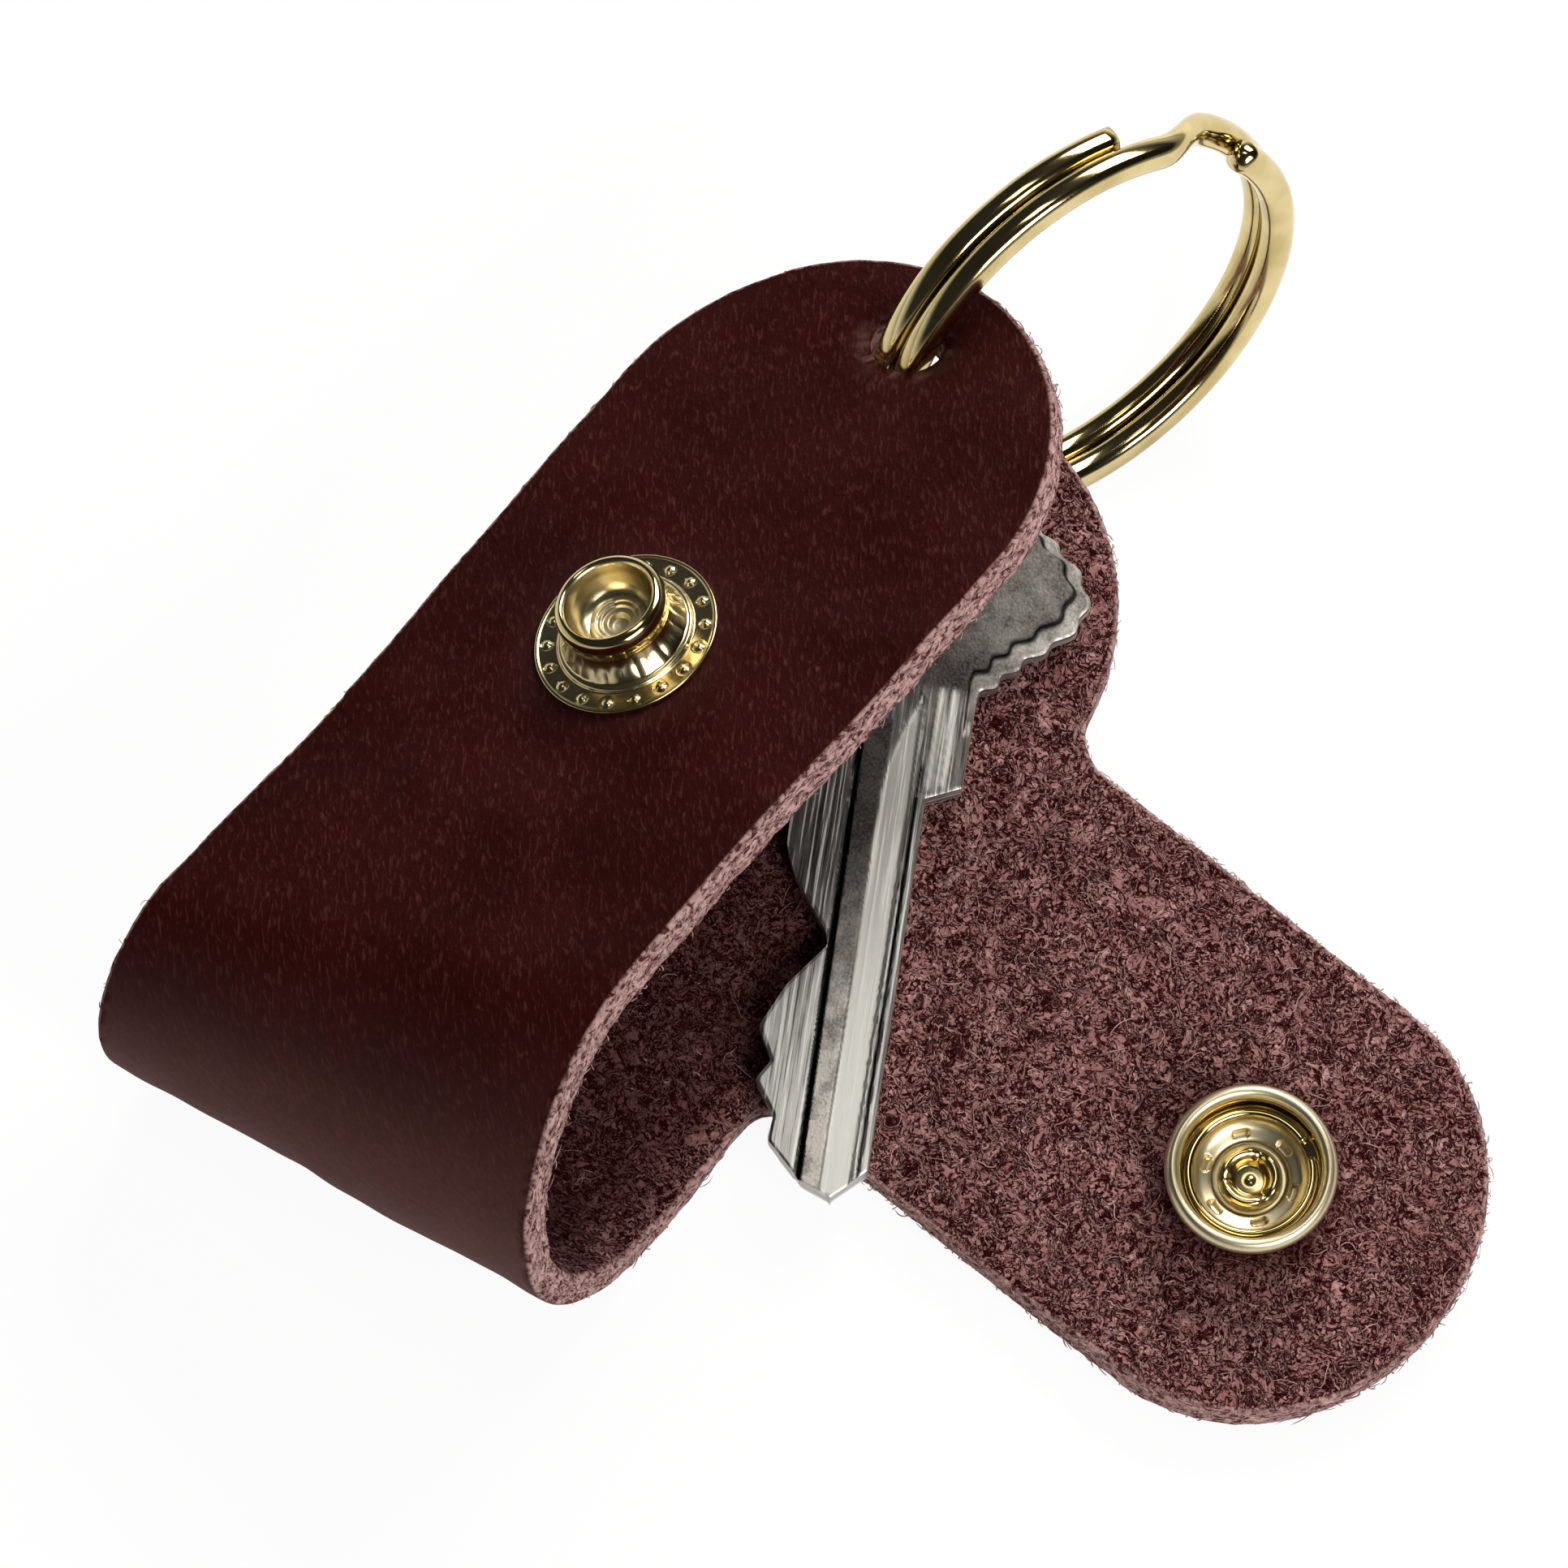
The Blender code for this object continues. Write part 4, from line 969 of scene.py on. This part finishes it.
def makeRing():
    # A flattened wire carried along two turns: a turn in one layer, a short crossing, a turn in the other.
    # The section is a superellipse that narrows to a dome at both ends.
    cross = math.radians(ring["crossAngle"])
    total = ring["turns"] * tau - cross - 2 * ring["pitch"] / ringRadius
    angle = np.linspace(0, total, ring["turns"] * ring["steps"])
    layer = (smooth(-0.5, 0.5, (angle - total / 2) / cross) - 0.5) * ring["pitch"]
    turn = np.linspace(0, tau, ring["sectionPoints"] + 1)
    wide, high = (np.sign(wave) * np.abs(wave) ** (2 / ring["squareness"]) * size / 2
                  for wave, size in ((np.cos(turn), ring["wireRadial"]), (np.sin(turn), ring["wireAxial"])))
    fromEnd = np.minimum(angle, total - angle) * ringRadius
    size = np.sqrt(1 - (1 - np.clip(fromEnd / ring["endDome"], 0, 1)) ** 2)[:, None]
    points = fromPolar(ringRadius + wide * size, (math.radians(ring["tipAngle"]) + angle)[:, None],
                       layer[:, None] + high * size)
    uv = together((angle * ringRadius)[:, None], turn)
    return makePiece("splitRing", [patch(placed(points, ringCentre, ringAxes), uv)], brassMaterial)


splitRing = makeRing()


key = dict(
    thickness=2.0, place=(7.77, 3.96, 2.2), direction=-59.5,
    bladeLength=26.8, bladeHalf=4.3, tipAside=2.1, tipChamfer=2.1, stubHalf=6.5, stubChamfer=1.0,
    bowCentre=14.5, bowRadius=9.8, lobeHeight=2.9, lobePlaces=(0.0, 91.0, -91.0), lobeSpread=19.0,
    scallops=36, scallopDepth=0.2, holeCentre=20.37, holeHalfWidth=5.4, holeHalfHeight=4.6,
    border=1.2, borderDrop=0.22, bladeRows=186, bladeColumns=84, bowRays=361, bowRows=60,
    slotDepth=0.45, slotHalf=(0.15, 0.22), slotPlace=0.3, slotSlope=0.012, slotEnd=(3.0, 4.6),
    channelDepth=0.35, channelLeft=(-1.45, 0.03, 0.035), channelRight=(3.35, 0.02), channelEnd=(6.4, 7.0),
    lineDepth=0.12, lineHalf=(0.06, 0.14), linePlace=3.72, lineEnd=(1.8, 2.4),
    ribHeight=0.10, ribHalf=(0.14, 0.34), ribPlace=4.9, ribAside=0.42, ribStart=(0.2, 1.4), ribEnd=(7.0, 7.6),
    cuts=((0.0, -0.56), (0.03, -0.05), (0.12, 0.53), (0.18, 0.49), (0.26, 0.84), (0.31, 0.65), (0.39, 0.91),
          (0.50, 0.60), (0.61, 0.09), (0.64, 0.14), (0.77, 0.74), (0.84, 0.92), (0.95, 0.95), (1.0, 1.0)),
)


def keyRelief(x, y):
    # How far the key's face lies below its full thickness: the slot, the milled channel with its pointed
    # run-out, fine lines by the spine and two short ribs on the stub
    middle = y - key["slotPlace"] - x * key["slotSlope"]
    slot = key["slotDepth"] * fall(*key["slotHalf"], np.abs(middle)) * fall(*key["slotEnd"], x)
    ahead = np.maximum(x, 0)
    (left, slope, curve), (right, drift) = key["channelLeft"], key["channelRight"]
    left = left - slope * ahead - curve * ahead ** 2
    inChannel = smooth(-0.08, 0.08, left - y) * smooth(-0.08, 0.08, y + right - drift * ahead)
    channel = key["channelDepth"] * inChannel * fall(*key["channelEnd"], x)
    line = key["lineDepth"] * fall(*key["lineHalf"], np.abs(y + key["linePlace"])) * fall(*key["lineEnd"], x)
    away = np.abs(np.abs(y + key["ribPlace"]) - key["ribAside"])
    ribs = fall(*key["ribHalf"], away) * smooth(*key["ribStart"], x) * fall(*key["ribEnd"], x)
    return slot, channel, line, key["ribHeight"] * ribs


def bladeCut(x):
    share, height = np.array(key["cuts"]).T
    return np.interp(x, -key["bladeLength"] * (1 - share), key["bladeHalf"] * height)


def keyFaces(x, y, drop, step=0.0):
    # both faces over one grid of places, with the values that the metal reads
    faces = []
    for side in (1, -1):
        slot, channel, line, ribs = keyRelief(x, y * side)
        height = key["thickness"] / 2 - slot - channel - line - ribs - drop
        # painted shade: the slot, the fine line, the bow's border step and the channel's wall are coloured black
        groove = np.clip(slot / 0.4 + line / 0.1 + step + hump(channel, 0.17, 0.1) * 0.6, 0, 1)
        milled = np.clip(channel / key["channelDepth"] + ribs / key["ribHeight"], 0, 1) * (1 - groove)
        strip = smooth(-0.2, 0.0, y * side + 1.5) * fall(0.0, 0.2, y * side - 0.1) * (x < 5)
        cast = np.clip(strip + smooth(6.0, 8.5, x) + 0.3 * smooth(4.0, 6.0, x), 0, 1) * (1 - milled)
        rubbed = 0.1 + 0.9 * smooth(2.0, 19.0, -x) + 0.25 * smooth(13.0, 22.0, x - y * side)
        rubbed = rubbed + 0.3 * (drop > 0.15) * (x > 5)
        values = dict(milled=milled, cast=cast, groove=groove, rubbed=rubbed)
        faces.append((together(x, y, side * height), together(x, y), values))
    return faces


def bladeGrid():
    # From the spine to the cuts. The last rows lie a little inside the bow, so that the two overlap.
    along = np.concatenate([np.linspace(-key["bladeLength"], 0, key["bladeRows"]), [0.15, 0.3, 0.32, 0.8]])
    slant = 1 - np.clip((along + key["bladeLength"]) / key["tipChamfer"], 0, 1)
    spine = (-key["bladeHalf"] + (key["bladeHalf"] - key["tipAside"]) * slant)[:, None]
    cutEdge = np.convolve(np.pad(bladeCut(along), 1, mode="edge"), np.ones(3) / 3, mode="valid")[:, None]
    x = np.broadcast_to(along[:, None], (len(along), key["bladeColumns"]))
    y = spine + (cutEdge - spine) * np.linspace(0, 1, key["bladeColumns"])
    rim = np.minimum(np.minimum(y - spine, cutEdge - y), x + key["bladeLength"])
    return x, y, 0.10 * fall(0.0, 0.18, rim) + 0.05 * (x > 0.31)


def bowOutline():
    # A circle with scallops and three lobes, then the stub that joins it to the blade
    ends = math.pi - math.asin(key["stubHalf"] / key["bowRadius"])
    angle = np.linspace(-ends, ends, key["bowRays"])
    radius = key["bowRadius"] + key["scallopDepth"] * np.cos(key["scallops"] * angle)
    for lobe in key["lobePlaces"]:
        away = (np.degrees(angle) - lobe + 180) % 360 - 180
        radius = radius + key["lobeHeight"] * hump(away, 0.0, key["lobeSpread"])
    outline = [together(key["bowCentre"] + radius * np.cos(angle), radius * np.sin(angle))]
    corners = [outline[0][-1], (key["stubChamfer"], key["stubHalf"]), (0.0, key["bladeHalf"]),
               (0.0, -key["bladeHalf"]), (key["stubChamfer"], -key["stubHalf"]), outline[0][0]]
    for here, there, count in zip(corners, corners[1:], (24, 10, 80, 10, 24)):
        outline.append(np.linspace(here, there, count + 1)[1:])
    return np.vstack(outline)


def bowGrid():
    # Rays from the bow's hole to its outline; a border is stamped lower, and the rims are rounded
    outline = bowOutline()
    ray = np.arctan2(outline[:, 1], outline[:, 0] - key["holeCentre"])
    inner = together(key["holeCentre"] + key["holeHalfWidth"] * np.cos(ray), key["holeHalfHeight"] * np.sin(ray))
    share = np.linspace(0, 1, key["bowRows"])[:, None]
    length = np.linalg.norm(outline - inner, axis=-1)
    x, y = (inner[:, i] + (outline - inner)[:, i] * share for i in (0, 1))
    inwards = length * (1 - share)
    onBow = smooth(4.2, 5.6, x)
    drop = key["borderDrop"] * fall(key["border"] - 0.12, key["border"] + 0.12, inwards) * onBow
    joint = (x < 0.8) & (np.abs(y) < key["bladeHalf"] - 0.1)
    drop = drop + np.where(joint, 0.004, 0.12 * fall(0.0, 0.22, inwards))
    drop = drop + 0.12 * fall(0.0, 0.25, length * share)
    # the last value is painted shade along the border's step
    return x, y, drop, hump(inwards, key["border"], 0.19) * onBow


def bladeBorders(face):
    return [roundBorder(face)]


def bowBorders(face):
    # at the bow's hole and outside
    return face[0], face[-1]


def makeKey():
    # The faces of the blade and then of the bow, and straight walls between their borders
    direction = math.radians(key["direction"] + 180)
    keyX = np.array([math.cos(direction), math.sin(direction), 0.0])
    place = np.array(key["place"]), np.array([keyX, np.cross(up, keyX), up])
    patches = []
    for grid, borders in ((bladeGrid(), bladeBorders), (bowGrid(), bowBorders)):
        faces = keyFaces(*grid)
        patches += [patch(placed(points, *place), uv, **values) for points, uv, values in faces]
        for upper, lower in zip(*(borders(points) for points, _, _ in faces)):
            wall = upper + (lower - upper) * np.array([0.0, 0.06, 0.94, 1.0])[:, None, None]
            patches.append(patch(placed(wall, *place), wall[..., [0, 2]], rubbed=0.9))
    return makePiece("keyOnRing", patches, nickelMaterial, crease=40)


keyPiece = makeKey()


# places where the strap's bend starts and ends along a slanting way, and the tab's along its length; they are worked
# out but not used
foldBend = dict(direction=(-0.40, 0.10, 1.0), start=9.0, end=19.5)
bendWay = unit(np.array(foldBend["direction"]))
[tuple(toWorld(bendWay * foldBend[end])) for end in ("start", "end")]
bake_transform(leatherStrap)
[tuple(toWorld([tab[end], 0, 0])) for end in ("bendStart", "bendEnd")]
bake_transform(leatherTab)
for piece, body, slot, *nodes in (
        (leatherStrap, None, "leather", "back_panel", "fold", "front_panel"),
        (leatherTab, None, "leather", "tab_bend", "snap_tab"),
        (snapStud, "front", "brass", "snap_stud"), (studPost, "front", "brass", "stud_post"),
        (snapSocket, "tab", "brass", "snap_socket"), (socketSpring, "tab", "brass", "socket_spring"),
        (snapCap, "tab", "brass", "snap_cap"), (splitRing, "ring", "brass", "split_ring"),
        (keyPiece, "key", "nickel_silver", "key")):
    if body:
        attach(piece, body)
    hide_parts(*nodes)


view = dict(
    right=(0.7747, 0.6323, -0.0085), upward=(-0.6072, 0.7476, 0.2692), towards=(0.1766, -0.2033, 0.9631),
    place=(3.435, 12.81, 640.0), width=100.1, shift=(9.03, -10.63, 0.0), sensor=36.0, clip=(0.01, 10.0),
)
studio = dict(
    # places and sizes in millimetres, powers in watts
    lamps=[
        dict(name="backLamp", place=(-110, 330, 300), size=(300, 160), power=2.35, tint=(1.0, 0.985, 0.96)),
        dict(name="rightLamp", place=(300, -100, 280), size=(180, 230), power=1.5, tint=(1.0, 0.985, 0.97)),
        dict(name="topLamp", place=(-95, 40, 430), size=(190, 90), power=0.20, tint=(1.0, 0.99, 0.97)),
    ],
    overhead=0.03, horizon=0.9, horizonTop=0.30, softShare=0.45, rightDark=0.6, rightFade=(0.1, 0.8),
    floorReach=1.5, floorGrey=0.9, floorSeen=0.93, floorMirrored=0.3,
)


def standAt(name, data, axes, place):
    # a camera or lamp at a place in the scene; its own x, y and z are the rows of axes
    made = bpy.data.objects.new(name, data)
    bpy.context.scene.collection.objects.link(made)
    matrix = np.eye(4)
    matrix[:3, :3], matrix[:3, 3] = axes.T, place
    made.matrix_world = Matrix(matrix.tolist())
    return made


def makeCamera():
    axes = np.array([view["right"], view["upward"], view["towards"]])
    data = bpy.data.cameras.new("camera")
    data.sensor_width = view["sensor"]
    data.lens = view["sensor"] * view["place"][2] / view["width"]
    data.clip_start, data.clip_end = view["clip"]
    place = toWorld(np.array(view["place"]) @ axes + view["shift"])
    bpy.context.scene.camera = standAt("camera", data, axes @ axesWorld, place)


def makeLamp(name, place, size, power, tint):
    # a rectangle that faces the object
    data = bpy.data.lights.new(name, "AREA")
    data.shape = "RECTANGLE"
    data.size, data.size_y = size[0] * mm, size[1] * mm
    data.energy, data.color = power, tint
    back = unit(np.array(place, float))
    side = unit(np.cross([0.0, 1.0, 0.05], back))
    standAt(name, data, np.array([side, np.cross(back, side), back]), np.array(place) * mm)


def rayIs(tree, kind):
    # 1 for rays of the kind, 0 for others
    return Wire.node(tree, "LightPath", {}, {}, f"Is {kind} Ray")


def makeFloor():
    # a large pale floor that the camera sees as white, with the object's soft shadow
    reach, grey = studio["floorReach"], studio["floorGrey"]
    x, y = np.meshgrid([-reach, reach], [-reach, reach])
    material, tree, shader = newMaterial("paleFloor")
    feed(tree, shader, {"Base Color": (grey, grey, grey, 1.0), "Roughness": 0.9})
    white = Wire.node(tree, "Emission", {}, {"Color": (1, 1, 1, 1), "Strength": 1.0})
    mirrored = rayIs(tree, "Glossy") + rayIs(tree, "Transmission")
    share = rayIs(tree, "Camera") * studio["floorSeen"] + mirrored * studio["floorMirrored"]
    mix = Wire.node(tree, "MixShader", {}, {0: share, 1: Wire(shader.outputs[0]), 2: white})
    feed(tree, tree.nodes["Material Output"], {"Surface": mix})
    makePiece("floor", [patch(together(x, y, 0.0), together(x, y))], material)


def makeWorld():
    # white for the camera and near the horizon, darker overhead, where the lamps hang, and to the right
    world = bpy.data.worlds.new("studio")
    world.use_nodes = True
    tree = world.node_tree
    direction = Wire.node(tree, "TexCoord", {}, {}, "Object")
    rise = Wire.node(tree, "SeparateXYZ", {}, {0: direction}, 2)
    rightward = tuple(np.array(view["right"]) @ axesWorld)
    aside = Wire.node(tree, "VectorMath", {"operation": "DOT_PRODUCT"}, {0: direction, 1: rightward}, 1)
    brighter = studio["horizon"] - studio["overhead"]
    around = studio["overhead"] + (1.0 - rise.step(0.0, studio["horizonTop"])) * brighter
    around = around * (1.0 - aside.step(*studio["rightFade"]) * studio["rightDark"])
    seen, soft = rayIs(tree, "Camera"), studio["softShare"]
    shown = seen + rayIs(tree, "Glossy") + rayIs(tree, "Transmission")
    level = seen + (1.0 - seen) * around * (soft + (1.0 - soft) * shown.step(0.0, 1.0))
    feed(tree, tree.nodes["Background"], {"Strength": level, "Color": (1, 1, 1, 1)})
    bpy.context.scene.world = world


makeCamera()
for lampSettings in studio["lamps"]:
    makeLamp(**lampSettings)
makeFloor()
makeWorld()
bpy.context.scene.view_settings.view_transform = "Standard"
